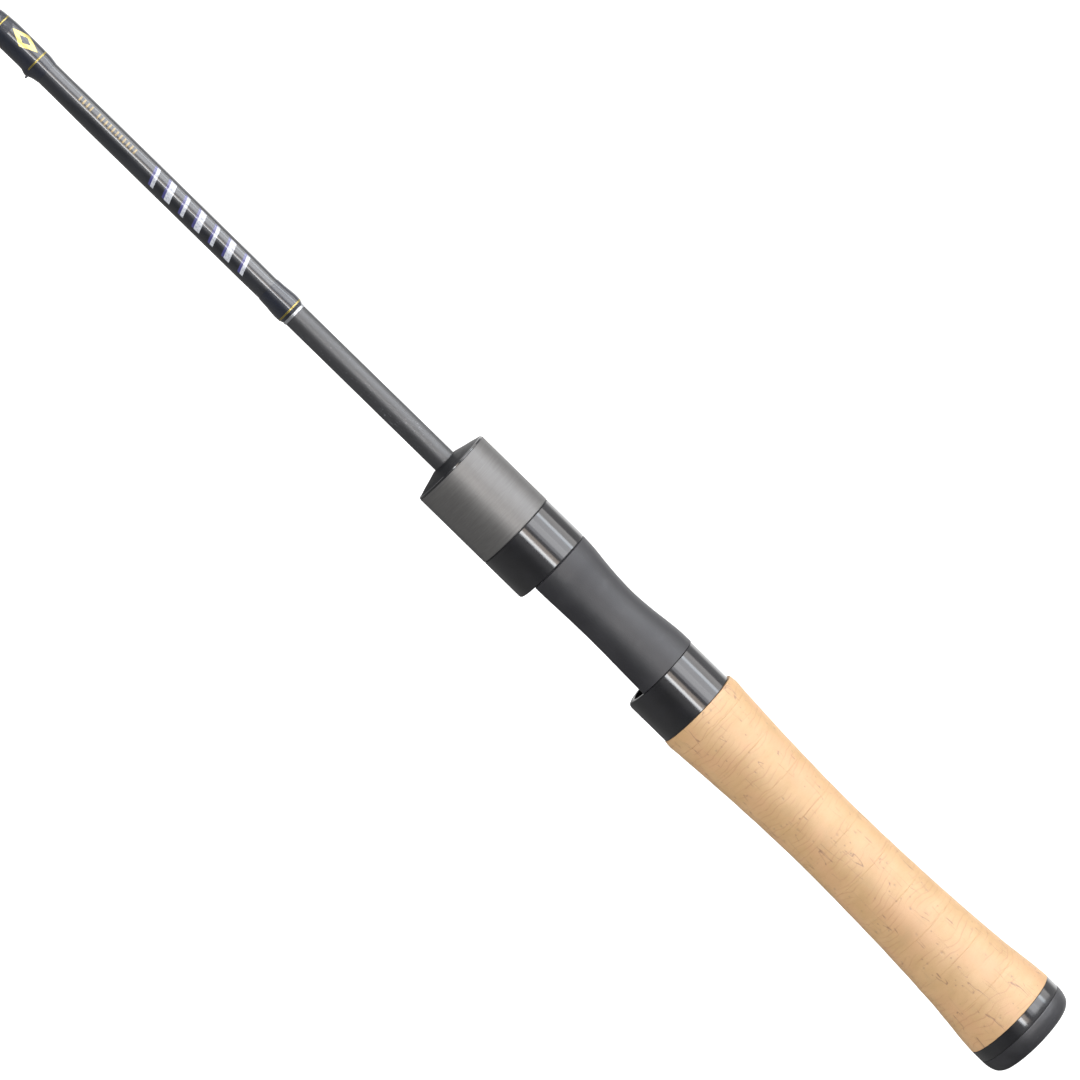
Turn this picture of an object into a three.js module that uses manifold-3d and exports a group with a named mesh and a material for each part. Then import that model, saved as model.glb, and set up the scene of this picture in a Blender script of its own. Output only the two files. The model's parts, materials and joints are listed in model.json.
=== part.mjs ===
// A two-piece spinning rod with a cork grip, a screw-locking reel seat and ring guides.
// Millimetres. The rod lies along X, from the butt end at X = 0 to the tip. The reel and the
// guides hang on the -Z side, and +Z is the top of the rod.
import * as THREE from 'three';
import { mergeVertices } from 'three/addons/utils/BufferGeometryUtils.js';
import Module from 'manifold-3d';

const wasm = await Module();
wasm.setup();

// Facets round the handle and round the blank
const HANDLE_SIDES = 24;
const BLANK_SIDES = 16;
const SLIVER = 0.005;

// Stations along the handle
const CAP_START = 0;
const CAP_END = 6.6;
const BUTT_RING_END = 11.0;
const CORK_END = 144.1;
const REAR_HOOD_END = 159.9;
const SEAT_END = 205.5;
const FRONT_HOOD_END = 220.7;
const NUT_START = 221.3;
const NUT_END = 248.0;
const GLUE_GAP = 0.02;
const BLANK_FIT = 0.15;

// Butt cap and cork grip: outside outlines of [station, radius]
const BUTT_RADIUS = 16.2;
const CAP_OUTLINE = [
  [CAP_START, 9.8],
  [0.35, 13.1],
  [1.0, 14.4],
  [2.2, 15.4],
  [4.4, 16.05],
  [CAP_END, BUTT_RADIUS],
];
const CAP_PLUG_LENGTH = 8;
const CAP_PLUG_PLAY = 0.1;
const CORK_RING_LENGTH = 12.7;
const CORK_OUTLINE = [
  [BUTT_RING_END, 16.2],
  [16.0, 15.8],
  [22.0, 15.1],
  [28.0, 14.45],
  [40.0, 13.6],
  [53.0, 12.9],
  [65.0, 12.47],
  [77.0, 12.14],
  [89.0, 12.0],
  [101.0, 12.17],
  [114.0, 12.58],
  [126.0, 13.16],
  [138.0, 13.87],
  [142.5, 14.12],
  [CORK_END, 13.9],
];

// Reel seat. The waist is the outside of the body between its hoods, as [station, radius].
const SEAT_BORE = 4.7;
const SEAT_START = 146.9;
const BARREL_RADIUS = 10.9;
const SEAT_WAIST = [
  [REAR_HOOD_END + GLUE_GAP, 13.2],
  [164.9, 13.05],
  [169.5, 12.6],
  [175.5, 11.95],
  [182.5, 11.55],
  [189.5, 11.8],
  [195.5, 12.35],
  [200.5, 12.95],
  [SEAT_END, 13.2],
];
const DECK_DEPTH = 5.8;
const DECK_START = 151.2;
const DECK_END = 216.6;
const HOOD_RADIUS = 13.32;
const HOOD_BORE = 11.2;
const REAR_HOOD_DROP = 0.35;
const REAR_HOOD_SWELL = 0.06;
const REAR_HOOD_WALL = 2.5;
const KEYWAY_WIDTH = 3.4;
const KEYWAY_FLOOR = 8.7;
const KEY_SINK = 0.6;
const KEY_START_GAP = 1.1;
const ARBOR_LENGTH = 22;
const ARBOR_INSET = 3;
const ARBOR_PLAY = 0.1;

// Snap joint between the front hood and the lock nut, with a thrust washer between their ends
const NUT_BACK_RADIUS = 11.75;
const LIP_OFFSET = 1.4;
const LIP_LENGTH = 1.2;
const LIP_RADIUS = 12.35;
const LIP_END_RADIUS = 12.1;
const MOUTH_RADIUS = 12.05;
const GROOVE_START = 1.1;
const GROOVE_END = 2.9;
const GROOVE_RADIUS = 12.65;
const WASHER_GAP = 0.05;
const WASHER_INNER = 11.85;
const WASHER_OUTER = 12.9;

// Lock nut: sleeve, threaded bush and end cap
const SLEEVE_EDGE = 0.3;
const BUSH_RADIUS = 12.0;
const BUSH_FIT = 0.1;
const BUSH_OFFSET = 0.2;
const END_CAP_SPIGOT = 3.6;
const END_CAP_BORE = 4.25;
const END_CAP_OUTLINE = [
  [NUT_END + 0.05, HOOD_RADIUS],
  [248.15, HOOD_RADIUS],
  [248.5, 12.75],
  [249.3, 10.5],
  [250.2, 7.1],
  [250.9, END_CAP_BORE + 0.4],
];

// Screw thread between barrel and lock nut
const THREAD_PITCH = 3.0;
const THREAD_STEPS = 12;
const THREAD_PHASE = 4.29;
const THREAD_ROOT = 9.0;
const THREAD_CREST = 10.0;
const THREAD_BASE_WIDTH = 1.6;
const THREAD_CREST_WIDTH = 0.9;
const THREAD_PLAY = 0.3;
const THREAD_ROOT_PLAY = 0.55;
const BARREL_END = 243.8;
const NUT_BORE = 9.4;
const NUT_THREAD_LENGTH = 10.5;
const BUSH_RELIEF = 10.9;
const SPIGOT_BORE = 10.4;
const SPIGOT_START = 217.2;
const RUNNING_GAP = 0.3;

// Blank: outside radius by station, and its bore
const BLANK_START = 7.0;
const BLANK_RADIUS = 3.88;
const COAT_RADIUS = 4.0;
const BLANK_BORE = 3.0;
const COAT_START = 318.9;
const COAT_FULL = 332.9;
const COAT_THIN = 397.0;
const COAT_END = 411.0;
const TAPER_START = 415.0;
const FERRULE_MOUTH = 858;
const FERRULE_LENGTH = 58;
const FERRULE_GAP = 0.6;
const FERRULE_TRIM = [858.8, 860.1];
const FERRULE_WIND = [860.2, 880];
const FERRULE_RADIUS = 2.95;
const TENON_RADIUS = 2.85;
const TENON_TIP_RADIUS = 2.7;
const TENON_TIP_BORE = 2.0;
const FERRULE_PLAY = 0.1;
const WIND_GAP = 0.05;

// Windings on the butt section: outside outlines of [station, radius]
const LOWER_WIND = [
  [314.7, 4.25],
  [316.0, 4.55],
  [317.5, 4.62],
  [319.2, 4.52],
  [321.5, 4.28],
  [324.9, 4.1],
];
const LOWER_RING = [313.6, 314.6];
const LOWER_RING_RADIUS = 4.12;
const LOWER_TRIMS = [{ name: 'lower_trim', x: 315.5, radius: 4.5 }];
const UPPER_WIND = [
  [416.8, 4.02],
  [419.4, 4.4],
  [425.5, 4.5],
  [431.5, 4.55],
  [436.0, 4.3],
  [439.5, 4.0],
];
const UPPER_TRIMS = [
  { name: 'upper_trim_1', x: 420.9, radius: 4.42 },
  { name: 'upper_trim_2', x: 436.3, radius: 4.26 },
];
const TRIM_WIDTH = 0.7;
const TRIM_DEPTH = 0.2;
const TRIM_PLAY = 0.05;
const KEEPER_X = 420.4;
const KEEPER_WIRE = 0.35;
const KEEPER_TOP = 5.5;
const KEEPER_HALF_SPAN = 0.55;

// Tip section
const TIP_SOCKET_RADIUS = 3.6;
const TIP_TAPER_START = 925;
const TIP_TAPER_RADIUS = 3.3;
const TIP_END = 1672;
const TIP_END_RADIUS = 0.85;
const TIP_BORE_END = 1150;
const TIP_BORE_END_RADIUS = 1.2;
const TIP_SOCKET_END = 882;

// Guides: station of the ring, ring radius, depth of the ring's centre below the axis
const DOUBLE_FOOT_GUIDES = [
  { name: 'guide_1', x: 600, ring: 8.0, drop: 20.0, wall: 1.3, wire: 0.75 },
  { name: 'guide_2', x: 795, ring: 5.0, drop: 13.5, wall: 1.0, wire: 0.65 },
];
const SINGLE_FOOT_GUIDES = [
  { name: 'guide_3', x: 1000, ring: 3.5, drop: 9.2, wall: 0.8, wire: 0.5 },
  { name: 'guide_4', x: 1170, ring: 2.9, drop: 7.4, wall: 0.7, wire: 0.45 },
  { name: 'guide_5', x: 1315, ring: 2.6, drop: 6.4, wall: 0.65, wire: 0.42 },
  { name: 'guide_6', x: 1445, ring: 2.5, drop: 5.8, wall: 0.65, wire: 0.4 },
  { name: 'guide_7', x: 1562, ring: 2.5, drop: 5.3, wall: 0.65, wire: 0.4 },
];
const TIP_RING = { x: 1678.9, ring: 2.5, drop: 4.0, wall: 0.65, wire: 0.4 };
const RING_RIM = 0.8;
const RING_SIDES = 16;
const FOOT_THICKNESS = 0.7;
const FOOT_WIDTH = 1.8;
const FOOT_LIFT = 0.12;
const FOOT_CLEARANCE = 0.12;
const WIND_THICKNESS = 0.35;

const rod = new THREE.Group();

const finishes = {
  cork: { color: 0xe2bb8c, roughness: 0.85, metalness: 0 },
  rubber: { color: 0x3a3a3c, roughness: 0.8, metalness: 0 },
  glossBlack: { color: 0x101012, roughness: 0.15, metalness: 0 },
  softTouch: { color: 0x55565a, roughness: 0.75, metalness: 0 },
  gunmetal: { color: 0x8a8a8c, roughness: 0.35, metalness: 1 },
  nylon: { color: 0x1c1c1e, roughness: 0.5, metalness: 0 },
  carbon: { color: 0x36373b, roughness: 0.5, metalness: 0 },
  winding: { color: 0x0c0c0e, roughness: 0.12, metalness: 0 },
  gold: { color: 0xd9b23c, roughness: 0.3, metalness: 1 },
  steel: { color: 0xb8bcc2, roughness: 0.2, metalness: 1 },
  ceramic: { color: 0x2c3036, roughness: 0.1, metalness: 0 },
  foam: { color: 0x8a8478, roughness: 0.9, metalness: 0 },
};

// ---------------------------------------------------------------- solids

function add(name, shape, finish) {
  const mesh = new THREE.Mesh(toGeometry(shape), new THREE.MeshStandardMaterial(finishes[finish]));
  mesh.name = name;
  rod.add(mesh);
}

function toSolid(geometry) {
  const bare = geometry.clone();
  bare.deleteAttribute('normal');
  bare.deleteAttribute('uv');
  const merged = mergeVertices(bare, 1e-4);
  return new wasm.Manifold(new wasm.Mesh({
    numProp: 3,
    vertProperties: new Float32Array(merged.attributes.position.array),
    triVerts: new Uint32Array(merged.index.array),
  }));
}

// The triangles of a joined or cut solid, without the slivers narrower than SLIVER
function toGeometry(solid) {
  const mesh = solid.simplify(SLIVER).getMesh();
  const geometry = new THREE.BufferGeometry();
  geometry.setAttribute('position', new THREE.BufferAttribute(mesh.vertProperties, 3));
  geometry.setIndex(new THREE.BufferAttribute(mesh.triVerts, 1));
  geometry.computeVertexNormals();
  return geometry;
}

// Turned about the rod's axis. The outline is a closed loop of [x, radius] points: along
// the outside with X rising, then back along the inside.
function turned(outline, sides = HANDLE_SIDES) {
  const loop = [...outline, outline[0]].map(([x, radius]) => new THREE.Vector2(radius, x));
  return toSolid(new THREE.LatheGeometry(loop, sides).rotateZ(-Math.PI / 2));
}

function tube(start, end, inner, outer, sides = HANDLE_SIDES) {
  return turned([[start, outer], [end, outer], [end, inner], [start, inner]], sides);
}

// A solid spindle on the rod's axis, from its outside outline of [x, radius] points, X rising
function spindle(outline, sides = HANDLE_SIDES) {
  const closed = [[outline[0][0], 0], ...outline, [outline.at(-1)[0], 0]];
  const points = closed.map(([x, radius]) => new THREE.Vector2(radius, x));
  return toSolid(new THREE.LatheGeometry(points, sides).rotateZ(-Math.PI / 2));
}

function plug(start, end, startRadius, endRadius = startRadius, sides = HANDLE_SIDES) {
  return spindle([[start, startRadius], [end, endRadius]], sides);
}

function block(low, high) {
  const [x, y, z] = low.map((value, i) => high[i] - value);
  const box = new THREE.BoxGeometry(x, y, z);
  box.translate(low[0] + x / 2, low[1] + y / 2, low[2] + z / 2);
  return toSolid(box);
}

// A straight bar with a many-sided section between two points
function bar(from, to, radius, sides = 6) {
  const start = new THREE.Vector3(...from);
  const run = new THREE.Vector3(...to).sub(start);
  const geometry = new THREE.CylinderGeometry(radius, radius, run.length(), sides);
  const turn = new THREE.Quaternion().setFromUnitVectors(
    new THREE.Vector3(0, 1, 0), run.clone().normalize());
  geometry.applyQuaternion(turn);
  geometry.translate(...start.addScaledVector(run, 0.5).toArray());
  return toSolid(geometry);
}

// A right-hand helix about the rod's axis. Its frames keep the swept section square to the axis.
class ThreadPath extends THREE.Curve {
  constructor(start, end, radius) {
    super();
    this.start = start;
    this.length = end - start;
    this.radius = radius;
  }

  angle(t) {
    return ((this.start + this.length * t) / THREAD_PITCH) * 2 * Math.PI + THREAD_PHASE;
  }

  radial(t) {
    return new THREE.Vector3(0, Math.cos(this.angle(t)), Math.sin(this.angle(t)));
  }

  getPoint(t) {
    return this.radial(t).multiplyScalar(this.radius).setX(this.start + this.length * t);
  }

  computeFrenetFrames(steps) {
    const tangents = [];
    const normals = [];
    const binormals = [];
    for (let i = 0; i <= steps; i++) {
      const normal = this.radial(i / steps);
      const binormal = new THREE.Vector3(-1, 0, 0);
      tangents.push(new THREE.Vector3().crossVectors(normal, binormal));
      normals.push(normal);
      binormals.push(binormal);
    }
    return { tangents, normals, binormals };
  }
}

// The ridge of the thread from start to end, or with play the groove that lets it through
function threadRidge(start, end, sidePlay = 0, rootPlay = 0) {
  const baseHalf = THREAD_BASE_WIDTH / 2 + sidePlay;
  const crestHalf = THREAD_CREST_WIDTH / 2 + sidePlay;
  const crest = THREAD_CREST - THREAD_ROOT + rootPlay;
  const sunk = -0.4;
  const section = new THREE.Shape([
    new THREE.Vector2(sunk, -baseHalf),
    new THREE.Vector2(crest, -crestHalf),
    new THREE.Vector2(crest, crestHalf),
    new THREE.Vector2(sunk, baseHalf),
  ]);
  const turns = (end - start) / THREAD_PITCH;
  return toSolid(new THREE.ExtrudeGeometry(section, {
    steps: Math.round(turns * THREAD_STEPS),
    bevelEnabled: false,
    extrudePath: new ThreadPath(start, end, THREAD_ROOT),
  }));
}

// ---------------------------------------------------------------- grip

function corkRadius(x) {
  const after = Math.max(1, CORK_OUTLINE.findIndex((point) => point[0] >= x));
  const [[lowX, lowRadius], [highX, highRadius]] = CORK_OUTLINE.slice(after - 1, after + 1);
  return THREE.MathUtils.mapLinear(x, lowX, highX, lowRadius, highRadius);
}

function buildGrip() {
  const plugRadius = BLANK_BORE - CAP_PLUG_PLAY;
  add('butt_cap', spindle([
    ...CAP_OUTLINE,
    [CAP_END, plugRadius],
    [CAP_END + CAP_PLUG_LENGTH, plugRadius],
  ]), 'rubber');
  const bore = BLANK_RADIUS + BLANK_FIT;
  add('butt_ring', tube(CAP_END + GLUE_GAP, BUTT_RING_END - GLUE_GAP, bore, BUTT_RADIUS), 'glossBlack');

  const rings = Math.ceil((CORK_END - BUTT_RING_END) / CORK_RING_LENGTH);
  for (let i = 0; i < rings; i++) {
    const start = BUTT_RING_END + i * CORK_RING_LENGTH;
    const end = Math.min(start + CORK_RING_LENGTH, CORK_END) - GLUE_GAP;
    const between = CORK_OUTLINE.filter(([x]) => x > start + 1 && x < end - 1);
    add(`cork_ring_${String(i + 1).padStart(2, '0')}`, turned([
      [start, corkRadius(start)],
      ...between,
      [end, corkRadius(end)],
      [end, bore],
      [start, bore],
    ]), 'cork');
  }
}

// ---------------------------------------------------------------- reel seat

function buildSeat() {
  const body = turned([
    [SEAT_START, BARREL_RADIUS],
    [SEAT_WAIST[0][0], BARREL_RADIUS],
    ...SEAT_WAIST,
    [SEAT_END, BARREL_RADIUS],
    [DECK_END, BARREL_RADIUS],
    [DECK_END, THREAD_ROOT],
    [BARREL_END, THREAD_ROOT],
    [BARREL_END, SEAT_BORE],
    [SEAT_START, SEAT_BORE],
  ]);
  const thread = threadRidge(DECK_END - 1, BARREL_END - 1);
  const past = BUTT_RADIUS;
  const deckCut = block([DECK_START, -past, -past], [DECK_END, past, -DECK_DEPTH]);
  const keyHalf = KEYWAY_WIDTH / 2;
  const keyway = block([SEAT_END + 0.2, -keyHalf, KEYWAY_FLOOR], [BARREL_END + 1, keyHalf, past]);
  add('seat_body', body.add(thread).subtract(deckCut).subtract(keyway), 'softTouch');

  const arborWall = [BLANK_RADIUS + ARBOR_PLAY, SEAT_BORE - ARBOR_PLAY];
  const rearArbor = SEAT_START + ARBOR_INSET;
  const frontArbor = BARREL_END - ARBOR_INSET - ARBOR_LENGTH;
  add('arbor_rear', tube(rearArbor, rearArbor + ARBOR_LENGTH, ...arborWall), 'foam');
  add('arbor_front', tube(frontArbor, frontArbor + ARBOR_LENGTH, ...arborWall), 'foam');

  const rearShell = plug(CORK_END + GLUE_GAP, REAR_HOOD_END, HOOD_RADIUS + REAR_HOOD_SWELL)
    .translate([0, 0, -REAR_HOOD_DROP]);
  const rearBore = plug(CORK_END + REAR_HOOD_WALL, REAR_HOOD_END + 1, HOOD_BORE);
  const blankHole = plug(CORK_END - 1, REAR_HOOD_END, BLANK_RADIUS + BLANK_FIT);
  add('rear_hood', rearShell.subtract(rearBore).subtract(blankHole), 'glossBlack');
}

// The hood that slides on the barrel. Its key runs in the keyway and its snap lip holds the nut.
function buildFrontHood() {
  const hoodStart = SEAT_END + 0.1;
  const lipStart = NUT_START + LIP_OFFSET;
  const lipEnd = lipStart + LIP_LENGTH;
  const shell = turned([
    [hoodStart, HOOD_RADIUS],
    [FRONT_HOOD_END, HOOD_RADIUS],
    [FRONT_HOOD_END, NUT_BACK_RADIUS],
    [lipStart, NUT_BACK_RADIUS],
    [lipStart, LIP_RADIUS],
    [lipEnd, LIP_END_RADIUS],
    [lipEnd, SPIGOT_BORE],
    [SPIGOT_START, SPIGOT_BORE],
    [SPIGOT_START, HOOD_BORE],
    [hoodStart, HOOD_BORE],
  ]);
  const keyHalf = KEYWAY_WIDTH / 2 - RUNNING_GAP;
  const key = block([hoodStart + KEY_START_GAP, -keyHalf, KEYWAY_FLOOR + RUNNING_GAP],
    [FRONT_HOOD_END - 0.1, keyHalf, HOOD_BORE + KEY_SINK]);
  add('front_hood', shell.add(key), 'glossBlack');
  add('thrust_washer', tube(FRONT_HOOD_END + WASHER_GAP, NUT_START - WASHER_GAP,
    WASHER_INNER, WASHER_OUTER), 'nylon');
}

function buildLockNut() {
  const shoulderEnd = NUT_START + GROOVE_START;
  const grooveEnd = NUT_START + GROOVE_END;
  const sleeveBore = BUSH_RADIUS + BUSH_FIT;
  add('nut_sleeve', turned([
    [NUT_START, HOOD_RADIUS - SLEEVE_EDGE],
    [NUT_START + SLEEVE_EDGE, HOOD_RADIUS],
    [NUT_END, HOOD_RADIUS],
    [NUT_END, sleeveBore],
    [grooveEnd, sleeveBore],
    [grooveEnd, GROOVE_RADIUS],
    [shoulderEnd, GROOVE_RADIUS],
    [shoulderEnd, MOUTH_RADIUS],
    [NUT_START, MOUTH_RADIUS],
  ]), 'gunmetal');

  const bushStart = grooveEnd + BUSH_OFFSET;
  const bushEnd = NUT_END - END_CAP_SPIGOT;
  const threadEnd = bushStart + NUT_THREAD_LENGTH;
  const bush = turned([
    [bushStart, BUSH_RADIUS],
    [bushEnd, BUSH_RADIUS],
    [bushEnd, BUSH_RELIEF],
    [threadEnd, BUSH_RELIEF],
    [threadEnd, NUT_BORE],
    [bushStart, NUT_BORE],
  ]);
  const groove = threadRidge(bushStart - THREAD_PITCH, threadEnd + THREAD_PITCH,
    THREAD_PLAY, THREAD_ROOT_PLAY);
  add('nut_bush', bush.subtract(groove), 'nylon');

  const spigotStart = bushEnd + 0.1;
  add('nut_end_cap', turned([
    [spigotStart, BUSH_RADIUS],
    [END_CAP_OUTLINE[0][0], BUSH_RADIUS],
    ...END_CAP_OUTLINE,
    [END_CAP_OUTLINE.at(-1)[0], END_CAP_BORE],
    [spigotStart, END_CAP_BORE],
  ]), 'glossBlack');
}

// ---------------------------------------------------------------- blank

function buttRadius(x) {
  const share = Math.max(0, x - TAPER_START) / (FERRULE_MOUTH - TAPER_START);
  return BLANK_RADIUS + (FERRULE_RADIUS - BLANK_RADIUS) * share;
}

function tipRadius(x) {
  const share = Math.max(0, x - TIP_TAPER_START) / (TIP_END - TIP_TAPER_START);
  return TIP_TAPER_RADIUS + (TIP_END_RADIUS - TIP_TAPER_RADIUS) * share;
}

function buildBlank() {
  const tenonEnd = FERRULE_MOUTH + FERRULE_LENGTH;
  add('butt_blank', turned([
    [BLANK_START, BLANK_RADIUS],
    [COAT_START, BLANK_RADIUS],
    [COAT_FULL, COAT_RADIUS],
    [COAT_THIN, COAT_RADIUS],
    [COAT_END, BLANK_RADIUS],
    [TAPER_START, BLANK_RADIUS],
    [FERRULE_MOUTH, FERRULE_RADIUS],
    [FERRULE_MOUTH + 0.5, TENON_RADIUS],
    [tenonEnd, TENON_TIP_RADIUS],
    [tenonEnd, TENON_TIP_BORE],
    [BLANK_START, BLANK_BORE],
  ], BLANK_SIDES), 'carbon');

  add('tip_blank', turned([
    [FERRULE_MOUTH + FERRULE_GAP, TIP_SOCKET_RADIUS],
    [TIP_SOCKET_END, TIP_SOCKET_RADIUS],
    [TIP_TAPER_START, TIP_TAPER_RADIUS],
    [TIP_END, TIP_END_RADIUS],
    [TIP_END, 0],
    [TIP_BORE_END, 0],
    [TIP_BORE_END, TIP_BORE_END_RADIUS],
    [tenonEnd + 3, TENON_TIP_RADIUS + FERRULE_PLAY],
    [FERRULE_MOUTH + FERRULE_GAP, TENON_RADIUS + FERRULE_PLAY],
  ], BLANK_SIDES), 'carbon');
}

// ---------------------------------------------------------------- windings

function ringOn(x, width, inner, outer) {
  return tube(x, x + width, inner, outer, BLANK_SIDES);
}

// A winding with one narrow groove for each trim, and the trims themselves
function buildTrimmed(name, shape, trims) {
  let winding = shape;
  trims.forEach((trim) => {
    const floor = trim.radius - TRIM_DEPTH;
    winding = winding.subtract(ringOn(trim.x, TRIM_WIDTH, floor, 2 * trim.radius));
    add(trim.name, ringOn(trim.x + TRIM_PLAY, TRIM_WIDTH - 2 * TRIM_PLAY,
      floor + TRIM_PLAY, trim.radius + TRIM_PLAY), 'gold');
  });
  add(name, winding, 'winding');
}

function buildWindings() {
  const lowUnder = spindle([
    [LOWER_RING[0] - 2, BLANK_RADIUS + WIND_GAP],
    [COAT_START, BLANK_RADIUS + WIND_GAP],
    [COAT_FULL, COAT_RADIUS + WIND_GAP],
  ], BLANK_SIDES);
  buildTrimmed('lower_winding', spindle(LOWER_WIND, BLANK_SIDES).subtract(lowUnder), LOWER_TRIMS);
  add('lower_ring', tube(...LOWER_RING, BLANK_RADIUS + WIND_GAP, LOWER_RING_RADIUS, BLANK_SIDES), 'steel');

  const upUnder = plug(TAPER_START, FERRULE_MOUTH, BLANK_RADIUS + WIND_GAP,
    FERRULE_RADIUS + WIND_GAP, BLANK_SIDES);
  const upShape = spindle(UPPER_WIND, BLANK_SIDES).subtract(upUnder)
    .subtract(keeper(KEEPER_WIRE + 0.1));
  buildTrimmed('upper_winding', upShape, UPPER_TRIMS);
  add('hook_keeper', keeper(KEEPER_WIRE), 'steel');

  const wall = [TIP_SOCKET_RADIUS + WIND_GAP, TIP_SOCKET_RADIUS + WIND_THICKNESS];
  add('ferrule_trim', tube(...FERRULE_TRIM, ...wall, BLANK_SIDES), 'gold');
  add('ferrule_winding', tube(...FERRULE_WIND, ...wall, BLANK_SIDES), 'winding');
}

// A low wire arch that stands across the reel side of the blank
function keeper(wire) {
  const foot = BLANK_RADIUS + KEEPER_WIRE + 0.12;
  const halfSpan = KEEPER_HALF_SPAN;
  const at = (angle, radius) => new THREE.Vector3(
    KEEPER_X, Math.sin(angle) * radius, -Math.cos(angle) * radius);
  const path = new THREE.CatmullRomCurve3([
    at(-halfSpan, foot),
    at(-halfSpan * 0.75, KEEPER_TOP - 0.35),
    at(0, KEEPER_TOP),
    at(halfSpan * 0.75, KEEPER_TOP - 0.35),
    at(halfSpan, foot),
  ]);
  const section = new THREE.Shape().absarc(0, 0, wire, 0, Math.PI * 2);
  return toSolid(new THREE.ExtrudeGeometry(section, {
    steps: 12, curveSegments: 6, bevelEnabled: false, extrudePath: path,
  }));
}

// ---------------------------------------------------------------- guides

// The polished ring, standing across the rod at station x
function guideRing(guide) {
  const { x, ring, drop, wall } = guide;
  const half = wall * 0.9;
  const shape = turned([
    [x - half, ring - wall * 0.45],
    [x - half * 0.6, ring - 0.08],
    [x + half * 0.6, ring - 0.08],
    [x + half, ring - wall * 0.45],
    [x + half * 0.5, ring - wall],
    [x - half * 0.5, ring - wall],
  ], RING_SIDES);
  return shape.translate([0, 0, -drop]);
}

// The frame of a guide: the band round its ring joined to its other pieces, with the ring's seat
// cut clear
function ringFrame(guide, pieces) {
  const { x, ring, drop, wire } = guide;
  const seat = (length, radius) => plug(x - length, x + length, radius, radius, RING_SIDES)
    .translate([0, 0, -drop]);
  return pieces.reduce((sum, piece) => sum.add(piece), seat(wire, ring + RING_RIM))
    .subtract(seat(wire * 3, ring));
}

// A foot lying along the blank, from its thin end to its root. reach lifts its top for a cut.
function guideFoot(thinEnd, root, top, grow = 0, reach = 0) {
  const side = Math.sign(root - thinEnd);
  const outline = [
    [thinEnd - side * grow, top + reach],
    [root + side * grow, top + reach],
    [root + side * grow, top - FOOT_THICKNESS - grow],
    [thinEnd + side * 2, top - FOOT_THICKNESS - grow],
    [thinEnd - side * grow, top - FOOT_THICKNESS * 0.4 - grow],
  ];
  const points = outline.map(([x, z]) => new THREE.Vector2(x, z));
  if (side < 0) points.reverse();
  const width = FOOT_WIDTH + 2 * grow;
  const foot = new THREE.ExtrudeGeometry(new THREE.Shape(points), { depth: width, bevelEnabled: false });
  foot.rotateX(Math.PI / 2);
  foot.translate(0, width / 2, 0);
  return toSolid(foot);
}

// Two struts that spread from the root of a foot to the sides of the band
function struts(guide, rootX, rootZ, lean) {
  const { x, ring, drop, wire } = guide;
  const spread = ring + RING_RIM * 0.5;
  const sink = spread * Math.sin(lean);
  return [-1, 1].map((side) => bar(
    [rootX, side * 0.35, rootZ],
    [x, side * spread * Math.cos(lean), -drop + sink],
    wire,
  )).reduce((sum, strut) => sum.add(strut));
}

// A winding over the blank and a foot, from start to end
function footWinding(start, end, radius, cut) {
  const dropped = (FOOT_THICKNESS + FOOT_LIFT) / 2;
  const outside = radius(Math.min(start, end)) + dropped + WIND_THICKNESS;
  const low = Math.min(start, end);
  const high = Math.max(start, end);
  const shape = plug(low, high, outside - 0.05, outside - 0.05, BLANK_SIDES).translate([0, 0, -dropped]);
  const bore = plug(low - 1, high + 1, radius(low - 1) + WIND_GAP, radius(high + 1) + WIND_GAP, BLANK_SIDES);
  return shape.subtract(bore).subtract(cut);
}

function buildDoubleFootGuide(guide) {
  const { name, x, drop } = guide;
  const footLength = 11;
  const rearRoot = x - drop * 0.75;
  const frontRoot = x + drop * 0.5;
  const footOf = (root, side, grow, reach) => guideFoot(
    root + side * footLength, root, -(buttRadius(root) + FOOT_LIFT), grow, reach);
  const pieces = [];
  [[rearRoot, -1, 'rear'], [frontRoot, 1, 'front']].forEach(([root, side, word]) => {
    const top = -(buttRadius(root) + FOOT_LIFT);
    pieces.push(footOf(root, side, 0, 0));
    pieces.push(struts(guide, root + side * 0.3, top - guide.wire, word === 'rear' ? 0.35 : 0.1));
    const cut = footOf(root, side, FOOT_CLEARANCE, 2);
    add(`${name}_winding_${word}`, footWinding(root + side * 1.6, root + side * (footLength + 1.8),
      buttRadius, cut), 'winding');
  });
  add(`${name}_frame`, ringFrame(guide, pieces), 'steel');
  add(`${name}_ring`, guideRing(guide), 'ceramic');
}

function buildSingleFootGuide(guide) {
  const { name, x, drop } = guide;
  const footLength = 8;
  const root = x - drop * 0.55;
  const top = -(tipRadius(root - footLength) + FOOT_LIFT);
  const foot = guideFoot(root - footLength, root, top);
  const legs = struts(guide, root - 0.3, top - guide.wire, 0.5);
  add(`${name}_frame`, ringFrame(guide, [foot, legs]), 'steel');
  add(`${name}_ring`, guideRing(guide), 'ceramic');
  add(`${name}_winding`, footWinding(root - footLength - 1.5, root - 1.4, tipRadius,
    guideFoot(root - footLength, root, top, FOOT_CLEARANCE, 2)), 'winding');
}

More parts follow.
